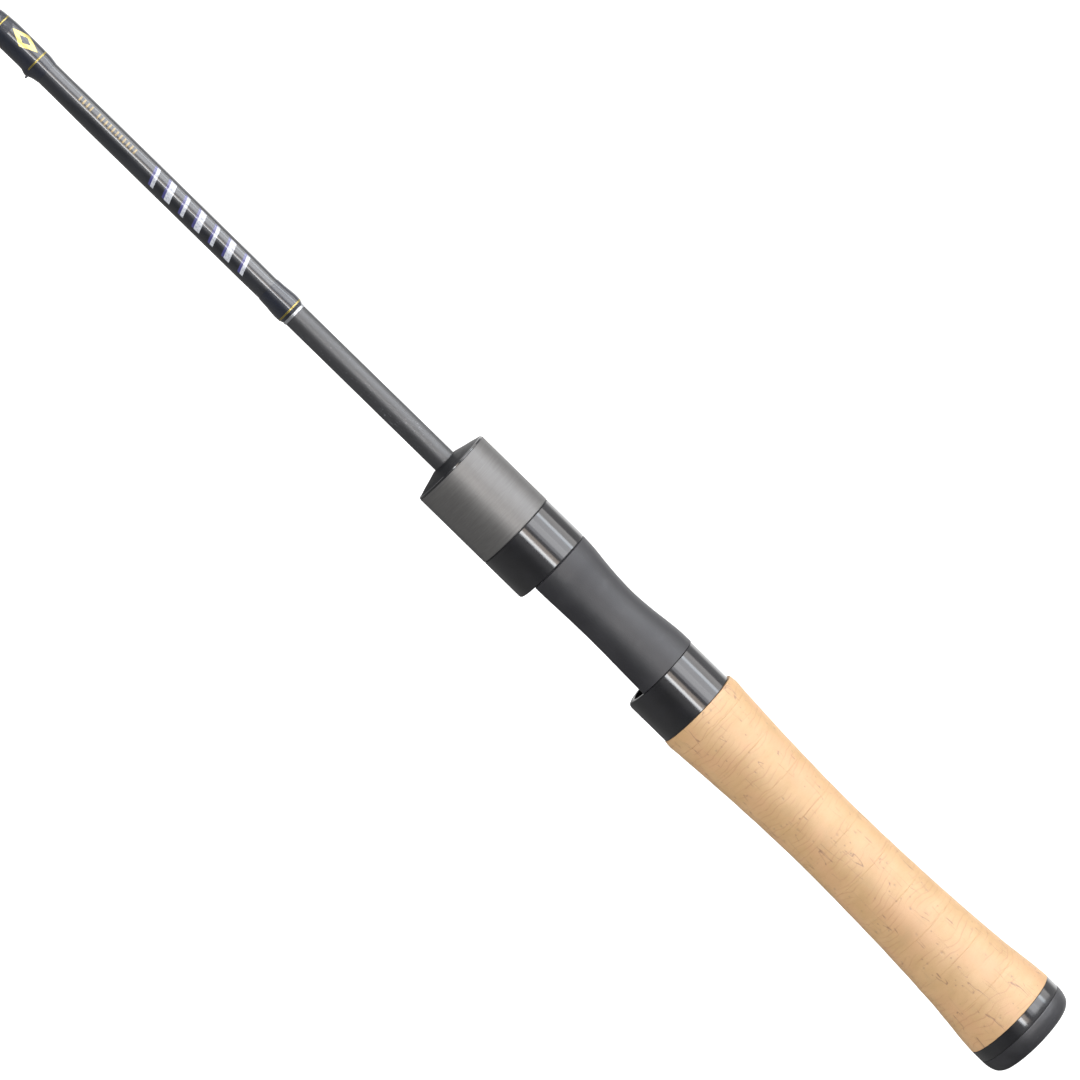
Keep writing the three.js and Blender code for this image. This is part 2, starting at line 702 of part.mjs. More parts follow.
function buildTipTop() {
  const tubeStart = TIP_END - 10;
  const inner = tipRadius(tubeStart) + 0.06;
  const sleeve = tube(tubeStart, TIP_END + 1, inner, inner + 0.4, BLANK_SIDES)
    .add(plug(TIP_END + 0.1, TIP_END + 1, inner + 0.4, inner + 0.4, BLANK_SIDES));
  const ringBottom = TIP_RING.drop + TIP_RING.ring + RING_RIM / 2;
  const stay = bar([TIP_END - 5, 0, -inner - 0.2], [TIP_RING.x, 0, -ringBottom], TIP_RING.wire);
  const legs = struts(TIP_RING, TIP_END + 0.4, -0.4, 0.6);
  add('tip_top_frame', ringFrame(TIP_RING, [sleeve, legs, stay]), 'steel');
  add('tip_top_ring', guideRing(TIP_RING), 'ceramic');
  add('tip_top_winding', turned([
    [tubeStart - 5, tipRadius(tubeStart - 5) + 0.25],
    [tubeStart - 0.1, inner + 0.35],
    [tubeStart - 0.1, tipRadius(tubeStart) + WIND_GAP],
    [tubeStart - 5, tipRadius(tubeStart - 5) + WIND_GAP],
  ], BLANK_SIDES), 'winding');
}

// ---------------------------------------------------------------- assembly

buildGrip();
buildSeat();
buildFrontHood();
buildLockNut();
buildBlank();
buildWindings();
DOUBLE_FOOT_GUIDES.forEach(buildDoubleFootGuide);
SINGLE_FOOT_GUIDES.forEach(buildSingleFootGuide);
buildTipTop();

export default rod;
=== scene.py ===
import json
import math

import bmesh
import bpy
import numpy as np
from mathutils import Matrix, Vector

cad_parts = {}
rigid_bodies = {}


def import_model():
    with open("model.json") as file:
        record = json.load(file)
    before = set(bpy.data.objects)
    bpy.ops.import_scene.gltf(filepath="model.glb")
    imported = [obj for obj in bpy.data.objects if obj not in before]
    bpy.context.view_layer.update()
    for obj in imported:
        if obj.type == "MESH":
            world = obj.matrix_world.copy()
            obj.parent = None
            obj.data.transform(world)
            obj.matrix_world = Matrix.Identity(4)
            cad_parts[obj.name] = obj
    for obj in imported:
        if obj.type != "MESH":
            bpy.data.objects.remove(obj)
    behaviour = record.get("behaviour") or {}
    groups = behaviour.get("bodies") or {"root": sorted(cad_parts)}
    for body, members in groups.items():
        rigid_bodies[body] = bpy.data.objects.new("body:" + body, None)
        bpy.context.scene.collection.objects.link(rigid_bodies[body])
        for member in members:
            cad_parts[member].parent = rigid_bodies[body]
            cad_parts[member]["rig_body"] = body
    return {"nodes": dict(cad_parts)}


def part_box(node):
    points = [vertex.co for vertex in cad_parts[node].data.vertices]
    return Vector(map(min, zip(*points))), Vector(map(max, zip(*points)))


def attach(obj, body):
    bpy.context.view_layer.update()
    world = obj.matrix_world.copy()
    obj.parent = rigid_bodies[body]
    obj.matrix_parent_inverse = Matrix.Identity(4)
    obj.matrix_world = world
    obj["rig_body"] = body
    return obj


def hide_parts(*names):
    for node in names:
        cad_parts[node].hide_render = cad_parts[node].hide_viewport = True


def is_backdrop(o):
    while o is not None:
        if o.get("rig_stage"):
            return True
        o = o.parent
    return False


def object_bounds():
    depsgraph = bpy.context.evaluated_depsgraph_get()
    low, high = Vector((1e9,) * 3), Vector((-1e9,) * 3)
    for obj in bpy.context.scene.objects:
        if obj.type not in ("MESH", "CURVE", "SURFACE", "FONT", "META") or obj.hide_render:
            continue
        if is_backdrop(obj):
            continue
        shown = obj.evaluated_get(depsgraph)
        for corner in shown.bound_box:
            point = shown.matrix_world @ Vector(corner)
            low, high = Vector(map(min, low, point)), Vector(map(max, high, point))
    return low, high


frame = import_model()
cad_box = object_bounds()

# The looks of a two-piece spinning rod. Lengths are in millimetres until a mesh is made. The
# rod lies along X from its butt end, and the reel and the guides hang on the -Z side.
MM = 0.001
SIDES = 160
CHANCE = np.random.default_rng(7)

# Where the photograph was taken from, as seen from the rod
CAMERA_STATION = 352
CAMERA_DISTANCE = 1760
CAMERA_ELEVATION = 12.3
CAMERA_LENS = 195.7
AIM_STATION = 213.8
AIM_LIFT = 3.15
ROD_SLOPE = 44.36


# ---------------------------------------------------------------- shapes

def reel_angles(sides):
    """Angles round the axis, from the reel side (-Z) towards +Y."""
    return np.arange(sides) * (2 * math.pi / sides)


def place(x, radius, angles, drop=0):
    """Points at stations x, radii and angles round an axis that lies drop below the rod's."""
    x, radius, angles = np.broadcast_arrays(x, radius, angles)
    return np.stack([x, radius * np.sin(angles), -radius * np.cos(angles) - drop], -1)


def grid(points, wrap_rows):
    """A surface over rows of points that each go all the way round."""
    rows, columns = points.shape[:2]
    i = np.arange(rows if wrap_rows else rows - 1)[:, None]
    j = np.arange(columns)[None, :]
    below, beside = (i + 1) % rows, (j + 1) % columns
    corners = np.broadcast_arrays(
        i * columns + j, i * columns + beside, below * columns + beside, below * columns + j)
    faces = np.stack(corners, -1).reshape(-1, 4)
    return points.reshape(-1, 3), faces.tolist()


def softened(outline, steps=5):
    """A closed outline of (x, radius, cut), each corner rounded off over its cut."""
    points = []
    for i, (x, r, cut) in enumerate(outline):
        here = np.array((x, r), float)
        if cut == 0:
            points.append(here)
            continue
        before = np.array(outline[i - 1][:2]) - here
        after = np.array(outline[(i + 1) % len(outline)][:2]) - here
        a = here + before * (cut / np.linalg.norm(before))
        b = here + after * (cut / np.linalg.norm(after))
        for t in np.linspace(0, 1, steps + 1):
            points.append((1 - t) ** 2 * a + 2 * t * (1 - t) * here + t * t * b)
    return np.array(points)


def turned(outline, sides=SIDES, drop=0, reel_outline=None, closed=True):
    """A rounded outline turned about an axis. On the reel side it changes into reel_outline."""
    rows = softened(outline)
    angles = reel_angles(sides)
    share = np.zeros(sides)
    reel_rows = rows
    if reel_outline:
        reel_rows = softened(reel_outline)
        share = ((1 + np.cos(angles)) / 2) ** 2
    blend = rows[:, None, :] * (1 - share[None, :, None]) + reel_rows[:, None, :] * share[None, :, None]
    return grid(place(blend[..., 0], blend[..., 1], angles, drop), closed)


def skin(stations, outer, bores, sides):
    """A sleeve with an outer radius for each station and angle, and the bore at its two ends."""
    x = np.concatenate([stations, [stations[-1], stations[0]]])[:, None]
    inside = np.broadcast_to(np.array([[bores[1]], [bores[0]]]), (2, sides))
    return grid(place(x, np.vstack([outer, inside]), reel_angles(sides)), True)


def spline(points, steps=16):
    """A smooth line through points."""
    p = np.array(points, float)
    p = np.vstack([2 * p[0] - p[1], p, 2 * p[-1] - p[-2]])
    line = []
    for i in range(1, len(p) - 2):
        for t in np.arange(steps) / steps:
            line.append(0.5 * (2 * p[i] + (p[i + 1] - p[i - 1]) * t
                + (2 * p[i - 1] - 5 * p[i] + 4 * p[i + 1] - p[i + 2]) * t ** 2
                + (3 * p[i] - p[i - 1] - 3 * p[i + 1] + p[i + 2]) * t ** 3))
    return np.array(line + [p[-2]])


def wire(line, radius, sides=20, wide=None, up=(0, 0, 1)):
    """A rod swept along a line, radius one way and wide the other. Both may change along it."""
    count = len(line)
    tall = np.broadcast_to(radius, count)
    wide = tall if wide is None else np.broadcast_to(wide, count)
    tangent = np.gradient(line, axis=0)
    tangent /= np.linalg.norm(tangent, axis=1)[:, None]
    side = np.cross(tangent, up)
    side /= np.linalg.norm(side, axis=1)[:, None]
    rise = np.cross(side, tangent)
    a = reel_angles(sides)
    ring = (np.cos(a)[None, :, None] * side[:, None, :] * wide[:, None, None]
        + np.sin(a)[None, :, None] * rise[:, None, :] * tall[:, None, None])
    ends = [np.repeat(line[:1], sides, 0), np.repeat(line[-1:], sides, 0)]
    points = np.vstack([ends[0][None], line[:, None, :] + ring, ends[1][None]])
    return grid(points, False)


def fade(x, low, high):
    """0 below low, 1 above high, smooth between them."""
    t = np.clip((x - low) / (high - low), 0, 1)
    return t * t * (3 - 2 * t)


def stations(*spans):
    """Stations from (end, step) spans after a first station."""
    x = [spans[0]]
    for end, step in spans[1:]:
        count = max(1, round((end - x[-1]) / step))
        x.extend(np.linspace(x[-1], end, count + 1)[1:])
    return np.array(x)


def piece(name, parts, finish, nodes, marks=None, finish_of=None, sharp=38):
    """One shown piece made of parts, which rides where its CAD nodes do and stands for them."""
    points, faces, first = [], [], 0
    for part_points, part_faces in parts:
        points.append(part_points)
        faces.extend([[v + first for v in face] for face in part_faces])
        first += len(part_points)
    mesh = bpy.data.meshes.new(name)
    mesh.from_pydata((np.vstack(points) * MM).tolist(), [], faces)
    if marks is not None:
        layer = mesh.attributes.new("pit", "FLOAT", "POINT")
        layer.data.foreach_set("value", np.resize(marks, len(mesh.vertices)).astype(np.float32))
    work = bmesh.new()
    work.from_mesh(mesh)
    bmesh.ops.remove_doubles(work, verts=work.verts, dist=1e-7)
    bmesh.ops.recalc_face_normals(work, faces=work.faces)
    work.to_mesh(mesh)
    work.free()
    for one in finish if isinstance(finish, list) else [finish]:
        mesh.materials.append(one)
    if finish_of:
        for polygon in mesh.polygons:
            polygon.material_index = finish_of(polygon.center.x / MM)
    mesh.shade_smooth()
    mesh.set_sharp_from_angle(angle=math.radians(sharp))
    made = bpy.data.objects.new(name, mesh)
    bpy.context.scene.collection.objects.link(made)
    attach(made, frame["nodes"][nodes[0]]["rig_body"])
    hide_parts(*nodes)


def span(node):
    """First and last station of a CAD node, and its radius about the rod's axis."""
    low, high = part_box(node)
    return low.x / MM, high.x / MM, high.y / MM


# ---------------------------------------------------------------- finishes

def tone(red, green, blue):
    """A colour as it looks on a screen, 0 to 255."""
    screen = np.array([red, green, blue]) / 255
    return (*np.where(screen <= 0.04045, screen / 12.92, ((screen + 0.055) / 1.055) ** 2.4), 1)


class Finish:
    """A procedural material: one surface, and short calls that add the nodes feeding it."""

    def __init__(self, slot, look="look", **values):
        self.material = bpy.data.materials.new(f"{slot}_{look}")
        self.material["slot"] = slot
        self.material.use_nodes = True
        self.tree = self.material.node_tree
        self.surface = self.tree.nodes["Principled BSDF"]
        self.place = self.node("TexCoord").outputs["Object"]
        self.set(**values)

    def set(self, **values):
        for name, value in values.items():
            self.feed(self.surface.inputs[name.replace("_", " ")], value)

    def feed(self, socket, value):
        if isinstance(value, bpy.types.NodeSocket):
            self.tree.links.new(value, socket)
        else:
            socket.default_value = value

    def node(self, kind, inputs=(), **settings):
        made = self.tree.nodes.new("ShaderNode" + kind)
        for name, value in settings.items():
            setattr(made, name, value)
        for socket, value in inputs:
            self.feed(made.inputs[socket], value)
        return made

    def at(self, x, y=None, z=None, shift=0):
        """The place on the rod, with so many pattern cells to the millimetre each way."""
        y = x if y is None else y
        scale = Vector((x, y, y if z is None else z)) / MM
        inputs = [("Vector", self.place), ("Scale", scale), ("Location", (shift,) * 3)]
        return self.node("Mapping", inputs).outputs[0]

    def axes(self):
        """The station and the angle round the axis, from +Y towards +Z."""
        split = self.node("SeparateXYZ", [(0, self.place)])
        angle = self.math("ARCTAN2", split.outputs[2], split.outputs[1])
        return self.math("MULTIPLY", split.outputs[0], 1 / MM), angle

    def math(self, operation, *values):
        return self.node("Math", enumerate(values), operation=operation).outputs[0]

    def noise(self, vector, detail=3.0, roughness=0.55, bend=0.0):
        inputs = [("Vector", vector), ("Scale", 1.0), ("Detail", detail),
            ("Roughness", roughness), ("Distortion", bend)]
        return self.node("TexNoise", inputs).outputs[0]

    def cells(self, vector):
        """The distance to the nearest of the scattered points."""
        return self.node("TexVoronoi", [("Vector", vector), ("Scale", 1.0)]).outputs["Distance"]

    def span(self, value, low, high, to_low=0.0, to_high=1.0):
        """value taken from low..high to to_low..to_high, and held at the ends."""
        inputs = [(0, value), (1, low), (2, high), (3, to_low), (4, to_high)]
        return self.node("MapRange", inputs, interpolation_type="SMOOTHSTEP").outputs[0]

    def mix(self, share, first, second):
        inputs = [(0, share), (6, first), (7, second)]
        return self.node("Mix", inputs, data_type="RGBA").outputs[2]

    def bump(self, height, depth, under=None):
        """A relief of depth millimetres."""
        inputs = [("Strength", 1.0), ("Distance", depth * MM), ("Height", height)]
        if under is not None:
            inputs.append(("Normal", under))
        return self.node("Bump", inputs).outputs[0]


def cork():
    """Natural cork: growth lines round the grip, thin cracks along it, specks and pits."""
    f = Finish("cork", IOR=1.65, Specular_IOR_Level=0.9, Coat_Weight=0.8, Coat_Roughness=0.55)
    broad = f.noise(f.at(0.22, 0.10), 3.0)
    colour = f.mix(f.span(broad, 0.3, 0.7), tone(191, 147, 85), tone(200, 156, 98))
    drift = f.noise(f.at(0.06, 0.12, shift=15), 2.0)
    colour = f.mix(f.span(drift, 0.45, 0.7, 0, 0.55), colour, tone(201, 148, 96))
    grey = f.span(f.noise(f.at(0.16, 0.2, shift=9), 3.0), 0.56, 0.74, 0, 0.25)
    colour = f.mix(grey, colour, tone(182, 146, 93))
    bend = f.noise(f.at(0.035, 0.06, shift=11), 3.0, 0.5)
    ring = f.math("ADD", f.math("MULTIPLY", f.axes()[0], 0.5), f.math("MULTIPLY", bend, 4.5))
    ring = f.math("SUBTRACT", f.math("SUBTRACT", ring, f.math("FLOOR", ring)), 0.5)
    lines = f.span(f.math("ABSOLUTE", ring), 0.02, 0.13, 0.5, 0)
    patch = f.span(f.noise(f.at(0.16, 0.10, shift=3), 3.0), 0.42, 0.62)
    colour = f.mix(f.math("MULTIPLY", lines, patch), colour, tone(174, 114, 60))
    fine = f.noise(f.at(3.2, 0.9), 3.0, 0.65)
    colour = f.mix(f.span(fine, 0.5, 0.8, 0, 0.25), colour, tone(172, 128, 80))
    cracks = f.noise(f.at(0.035, 0.34, shift=5), 2.0, 0.5, 0.2)
    crack = f.span(f.math("ABSOLUTE", f.math("SUBTRACT", cracks, 0.5)), 0.002, 0.009, 1, 0)
    where = f.span(f.noise(f.at(0.13, 0.3, shift=21), 1.0), 0.53, 0.58)
    crack = f.math("MULTIPLY", crack, where)
    colour = f.mix(f.math("MULTIPLY", crack, 0.7), colour, tone(126, 72, 24))
    speck = f.span(f.cells(f.at(0.4, 0.55, shift=2)), 0.05, 0.19, 1, 0)
    rare = f.span(f.noise(f.at(0.2, shift=31), 2.0), 0.47, 0.55)
    speck = f.math("MULTIPLY", speck, rare)
    colour = f.mix(f.math("MULTIPLY", speck, 0.6), colour, tone(138, 88, 38))
    pit = f.node("Attribute", attribute_name="pit").outputs["Fac"]
    ragged = f.math("MULTIPLY", pit, f.span(f.noise(f.at(2.2), 3.0, 0.7), 0.38, 0.6, 0.15, 1))
    colour = f.mix(f.math("MULTIPLY", ragged, 0.8), colour, tone(112, 80, 50))
    dust = f.span(f.noise(f.at(6.0), 2.0), 0.35, 0.65, -1, 1)
    height = f.math("SUBTRACT", f.math("MULTIPLY", dust, 0.12), f.math("MULTIPLY", crack, 0.5))
    height = f.math("SUBTRACT", height, f.math("MULTIPLY", speck, 0.5))
    height = f.math("SUBTRACT", height, f.math("MULTIPLY", lines, 0.4))
    f.set(Base_Color=colour, Normal=f.bump(height, 0.07), Roughness=f.span(fine, 0.2, 0.8, 0.52, 0.66))
    return f.material


def rubber():
    """The butt cap: dull, finely grained, a little scuffed."""
    f = Finish("rubber", IOR=1.5, Specular_IOR_Level=0.85)
    grain = f.noise(f.at(5.5), 3.0, 0.65)
    cloud = f.noise(f.at(0.2), 3.0)
    colour = f.mix(f.span(cloud, 0.3, 0.7), tone(31, 31, 36), tone(38, 38, 43))
    scuff = f.span(f.noise(f.at(0.5, 2.5, shift=4), 4.0, 0.7), 0.6, 0.75, 0, 0.35)
    colour = f.mix(scuff, colour, tone(78, 77, 78))
    f.set(Base_Color=colour, Roughness=f.span(cloud, 0.3, 0.7, 0.43, 0.49))
    f.set(Normal=f.bump(grain, 0.025))
    return f.material


def gloss_black():
    """Polished lacquer of the hoods and rings."""
    f = Finish("gloss_black", IOR=1.55, Specular_IOR_Level=0.55, Coat_Weight=0.3, Coat_Roughness=0.08)
    wave = f.noise(f.at(0.12), 2.0)
    hair = f.noise(f.at(9.0, 0.08), 3.0, 0.7)
    colour = f.mix(f.span(wave, 0.3, 0.7), tone(31, 31, 33), tone(36, 36, 39))
    rough = f.math("ADD", f.span(hair, 0.55, 0.75, 0.12, 0.16), f.span(wave, 0.4, 0.7, 0, 0.03))
    f.set(Base_Color=colour, Roughness=rough)
    f.set(Normal=f.bump(wave, 0.012, f.bump(hair, 0.001)))
    return f.material


def satin_black():
    """The tapered face of the end cap, left duller than its rim."""
    f = Finish("gloss_black", "satin", IOR=1.5, Specular_IOR_Level=0.5)
    grain = f.noise(f.at(5.0, 0.8), 3.0, 0.6)
    cloud = f.noise(f.at(0.3), 2.0)
    colour = f.mix(f.span(cloud, 0.3, 0.7), tone(30, 31, 34), tone(38, 39, 42))
    f.set(Base_Color=colour, Roughness=f.span(grain, 0.3, 0.7, 0.38, 0.48), Normal=f.bump(grain, 0.006))
    return f.material


def soft_touch():
    """The rubbery paint of the seat body, rubbed slightly shinier in places."""
    f = Finish("soft_touch", IOR=1.5, Specular_IOR_Level=0.62, Sheen_Weight=0.08, Sheen_Roughness=0.5)
    cloud = f.noise(f.at(0.09), 3.0)
    grain = f.noise(f.at(7.0), 2.0, 0.6)
    colour = f.mix(f.span(cloud, 0.3, 0.7), tone(29, 29, 34), tone(35, 35, 40))
    polish = f.span(f.noise(f.at(0.35, 0.2, shift=6), 3.0), 0.55, 0.75)
    colour = f.mix(f.math("MULTIPLY", polish, 0.3), colour, tone(38, 38, 43))
    f.set(Base_Color=colour, Normal=f.bump(grain, 0.02))
    f.set(Roughness=f.math("SUBTRACT", f.span(cloud, 0.3, 0.7, 0.46, 0.52), f.math("MULTIPLY", polish, 0.06)))
    return f.material


def gunmetal():
    """Aluminium turned on a lathe, brushed round the axis."""
    f = Finish("gunmetal", Metallic=0.6, Anisotropic=0.3)
    brush = f.noise(f.at(2.4, 0.10), 4.0, 0.8)
    fine = f.noise(f.at(6.0, 0.25, shift=8), 3.0, 0.75)
    cloud = f.noise(f.at(0.1), 2.0)
    colour = f.mix(f.span(brush, 0.3, 0.7), tone(98, 97, 96), tone(108, 107, 106))
    colour = f.mix(f.span(fine, 0.4, 0.75, 0, 0.5), colour, tone(116, 115, 114))
    around = f.node("Tangent", direction_type="RADIAL", axis="X").outputs[0]
    rough = f.math("ADD", f.span(brush, 0.3, 0.7, 0.4, 0.45), f.span(cloud, 0.3, 0.7, 0, 0.03))
    f.set(Base_Color=colour, Roughness=rough, Tangent=around, Normal=f.bump(brush, 0.0025))
    return f.material


def nylon():
    """The washer and the bush inside the nut."""
    f = Finish("nylon", IOR=1.5)
    grain = f.noise(f.at(4.0), 3.0)
    colour = f.mix(f.span(grain, 0.3, 0.7), tone(28, 28, 30), tone(38, 38, 41))
    f.set(Base_Color=colour, Roughness=f.span(grain, 0.3, 0.7, 0.42, 0.56), Normal=f.bump(grain, 0.015))
    return f.material


def bare_carbon():
    """The ground blank: matte, with specks of fibre ends painted bright as glints."""
    f = Finish("carbon", IOR=1.6, Specular_IOR_Level=0.75)
    cloud = f.noise(f.at(0.05, 0.2), 3.0)
    grain = f.noise(f.at(1.8, 2.4), 2.0, 0.6)
    colour = f.mix(f.span(cloud, 0.3, 0.7), tone(39, 40, 43), tone(45, 46, 50))
    colour = f.mix(f.span(grain, 0.4, 0.7, 0, 0.3), colour, tone(56, 57, 61))
    # Specks of fibre ends painted light grey in random patches: painted glints.
    speck = f.span(f.noise(f.at(2.9, 3.1, shift=7), 1.0, 0.6), 0.7, 0.76)
    glint_patch = f.span(f.noise(f.at(0.07, 0.4, shift=12), 2.0), 0.42, 0.6, 0.1, 1)
    colour = f.mix(f.math("MULTIPLY", speck, glint_patch), colour, tone(150, 150, 158))
    f.set(Base_Color=colour, Roughness=f.span(cloud, 0.3, 0.7, 0.42, 0.48))
    f.set(Normal=f.bump(grain, 0.008, f.bump(f.noise(f.at(6.0), 2.0), 0.006)))
    return f.material


def clear_coat(f):
    """Glossy varnish or epoxy over what is already there."""
    f.set(Coat_Weight=1.0, Coat_Roughness=0.03, Coat_IOR=1.5)


def coated_carbon(marked):
    """The blank under clear coat. The marked stretch carries slanted bars and a row of dashes."""
    f = Finish("carbon", "marked" if marked else "coated", IOR=1.6)
    cloud = f.noise(f.at(0.05, 0.3), 3.0)
    fleck = f.span(f.noise(f.at(1.6, 5.0), 2.0, 0.7), 0.64, 0.74, 0, 0.25)
    colour = f.mix(f.span(cloud, 0.3, 0.7), tone(23, 25, 31), tone(31, 34, 42))
    colour = f.mix(fleck, colour, tone(70, 72, 80))
    metal = 0.0
    if marked:
        x, angle = f.axes()
        off = f.math("SUBTRACT", angle, MARK_ANGLE)
        lean = f.math("SUBTRACT", x, f.math("MULTIPLY", off, MARK_LEAN))
        count = f.math("DIVIDE", f.math("SUBTRACT", lean, BARS_START), BAR_STEP)
        whole = f.math("FLOOR", count)
        across = f.math("MULTIPLY", f.math("SUBTRACT", f.math("SUBTRACT", count, whole), 0.5), BAR_STEP)
        odd = f.math("PINGPONG", whole, 1.0)
        half = f.math("ADD", 0.62, f.math("MULTIPLY", odd, 0.5))
        edge = f.math("SUBTRACT", half, f.math("ABSOLUTE", across))
        shadow = f.math("SUBTRACT", half, f.math("ABSOLUTE", f.math("SUBTRACT", across, 0.95)))
        inside = f.math("MULTIPLY", f.span(lean, BARS_START - 0.05, BARS_START + 0.05),
            f.span(lean, BARS_END - 0.05, BARS_END + 0.05, 1, 0))
        reach = f.span(f.math("ABSOLUTE", off), MARK_REACH - 0.05, MARK_REACH + 0.05, 1, 0)
        inside = f.math("MULTIPLY", inside, reach)
        bar = f.math("MULTIPLY", f.span(edge, -0.05, 0.08), inside)
        dim = f.math("MULTIPLY", f.span(shadow, -0.05, 0.15, 0, 0.8), inside)
        worn = f.span(f.noise(f.at(1.2, 1.6), 3.0, 0.7), 0.3, 0.6, 0.55, 1)
        colour = f.mix(dim, colour, tone(62, 62, 132))
        colour = f.mix(f.math("MULTIPLY", bar, worn), colour, tone(192, 195, 202))
        step = f.math("DIVIDE", f.math("SUBTRACT", x, DASHES_START), DASH_STEP)
        part = f.math("SUBTRACT", step, f.math("FLOOR", step))
        dash = f.span(f.math("ABSOLUTE", f.math("SUBTRACT", part, 0.5)), 0.14, 0.26, 1, 0)
        high = f.math("ABSOLUTE", f.math("SUBTRACT", angle, DASH_ANGLE))
        dash = f.math("MULTIPLY", dash, f.span(high, 0.2, 0.26, 1, 0))
        dash = f.math("MULTIPLY", dash, f.span(x, DASHES_START - 0.1, DASHES_START + 0.1))
        dash = f.math("MULTIPLY", dash, f.span(x, DASHES_END - 0.1, DASHES_END + 0.1, 1, 0))
        gap = f.math("ABSOLUTE", f.math("SUBTRACT", x, DASHES_GAP))
        dash = f.math("MULTIPLY", dash, f.span(gap, 0.7, 0.9))
        colour = f.mix(f.math("MULTIPLY", dash, worn), colour, tone(140, 122, 84))
        metal = f.math("MULTIPLY", dash, 0.6)
    f.set(Base_Color=colour, Metallic=metal, Roughness=f.span(cloud, 0.3, 0.7, 0.3, 0.42))
    f.set(Coat_Normal=f.bump(f.noise(f.at(0.2, 0.4), 2.0), 0.008))
    clear_coat(f)
    return f.material


def thread(slot, low, high, metallic=0.0, lozenge=False):
    """A winding of thread round the blank, under clear epoxy, each turn painted light on its crest and dark
    in the groove beside it: painted highlight and painted shade.
    """
    f = Finish(slot, "marked" if lozenge else "look", IOR=1.5, Metallic=metallic)
    turn = f.node("TexWave", [("Vector", f.at(1.0)), ("Scale", 0.95), ("Distortion", 0.25),
        ("Detail", 2.0)], bands_direction="X").outputs[1]
    fibre = f.noise(f.at(14.0, 0.8), 2.0)
    # The lighter colour on each turn's crest and the darker one in its grooves are painted highlight and
    # painted shade.
    colour = f.mix(f.span(turn, 0.15, 0.85), low, high)
    colour = f.mix(f.span(fibre, 0.5, 0.75, 0, 0.3), colour, high)
    if lozenge:
        x, angle = f.axes()
        along = f.math("ABSOLUTE", f.math("DIVIDE", f.math("SUBTRACT", x, LOZENGE_X), LOZENGE_HALF))
        round_it = f.math("ABSOLUTE", f.math("DIVIDE", f.math("SUBTRACT", angle, LOZENGE_ANGLE), 0.62))
        mark = f.span(f.math("ADD", along, round_it), 0.92, 1.0, 1, 0)
        hollow = f.span(f.math("ADD", along, round_it), 0.4, 0.48, 0, 1)
        mark = f.math("MULTIPLY", mark, hollow)
        colour = f.mix(mark, colour, tone(216, 198, 112))
        f.set(Metallic=f.math("MULTIPLY", mark, 0.5))
    f.set(Base_Color=colour, Roughness=f.span(fibre, 0.3, 0.7, 0.3, 0.45), Normal=f.bump(turn, 0.02))
    f.set(Coat_Normal=f.bump(f.noise(f.at(0.25), 2.0), 0.008))
    clear_coat(f)
    return f.material


def polished(slot, low, high, rough, metallic=1.0):
    """Wire or ring surface with fine scratches."""
    f = Finish(slot, Metallic=metallic)
    scratch = f.noise(f.at(8.0, 0.6), 4.0, 0.75)
    cloud = f.noise(f.at(0.6), 2.0)
    colour = f.mix(f.span(scratch, 0.3, 0.7), low, high)
    f.set(Base_Color=colour, Roughness=f.math("ADD", f.span(scratch, 0.3, 0.75, rough, rough + 0.12),
        f.span(cloud, 0.3, 0.7, 0, 0.04)), Normal=f.bump(scratch, 0.001))
    return f.material


def foam():
    """The arbors between the seat and the blank."""
    f = Finish("foam", IOR=1.4)
    bubble = f.cells(f.at(2.2))
    # Darker in the pore hollows that the bump makes: painted shade.
    colour = f.mix(f.span(bubble, 0.1, 0.6), tone(84, 84, 82), tone(140, 138, 132))
    f.set(Base_Color=colour, Roughness=f.span(bubble, 0, 0.7, 0.95, 0.8), Normal=f.bump(bubble, 0.15))
    return f.material


# Generic decoration on the blank, by station and by angle from +Y towards +Z
MARK_ANGLE = 0.26
MARK_LEAN = 1.35
MARK_REACH = 0.78
BARS_START = 331.6
BAR_STEP = 6.2
BARS_END = BARS_START + 7 * BAR_STEP
DASHES_START = 381.0
DASHES_END = 405.2
DASHES_GAP = 398.2
DASH_STEP = 1.5
DASH_ANGLE = 0.63
LOZENGE_X = 428.0
LOZENGE_ANGLE = 0.76
LOZENGE_HALF = 5.4

CORK = cork()
RUBBER = rubber()
BLACK = gloss_black()
SATIN = satin_black()
SOFT = soft_touch()
METAL = gunmetal()
NYLON = nylon()
CARBON = bare_carbon()
COATED = coated_carbon(False)
MARKED = coated_carbon(True)
# The two colours of each winding and trim are its lit crests and shaded grooves: painted light and painted
# shade.
WINDING = thread("winding", tone(17, 21, 32), tone(29, 35, 51))
WINDING_MARKED = thread("winding", tone(17, 21, 32), tone(29, 35, 51), lozenge=True)
GOLD = thread("gold_trim", tone(112, 98, 38), tone(186, 168, 88), metallic=0.85)
SILVER = thread("silver_trim", tone(120, 122, 128), tone(226, 228, 232), metallic=0.85)
STEEL = polished("guide_steel", tone(150, 152, 158), tone(196, 198, 204), 0.14)
CERAMIC = polished("guide_ring", tone(30, 33, 38), tone(46, 50, 56), 0.05, metallic=0.2)
FOAM = foam()


# ---------------------------------------------------------------- grip

CORK_BORE = 4.03
RING_BORE = 4.05
PLUG_RADIUS = 2.95


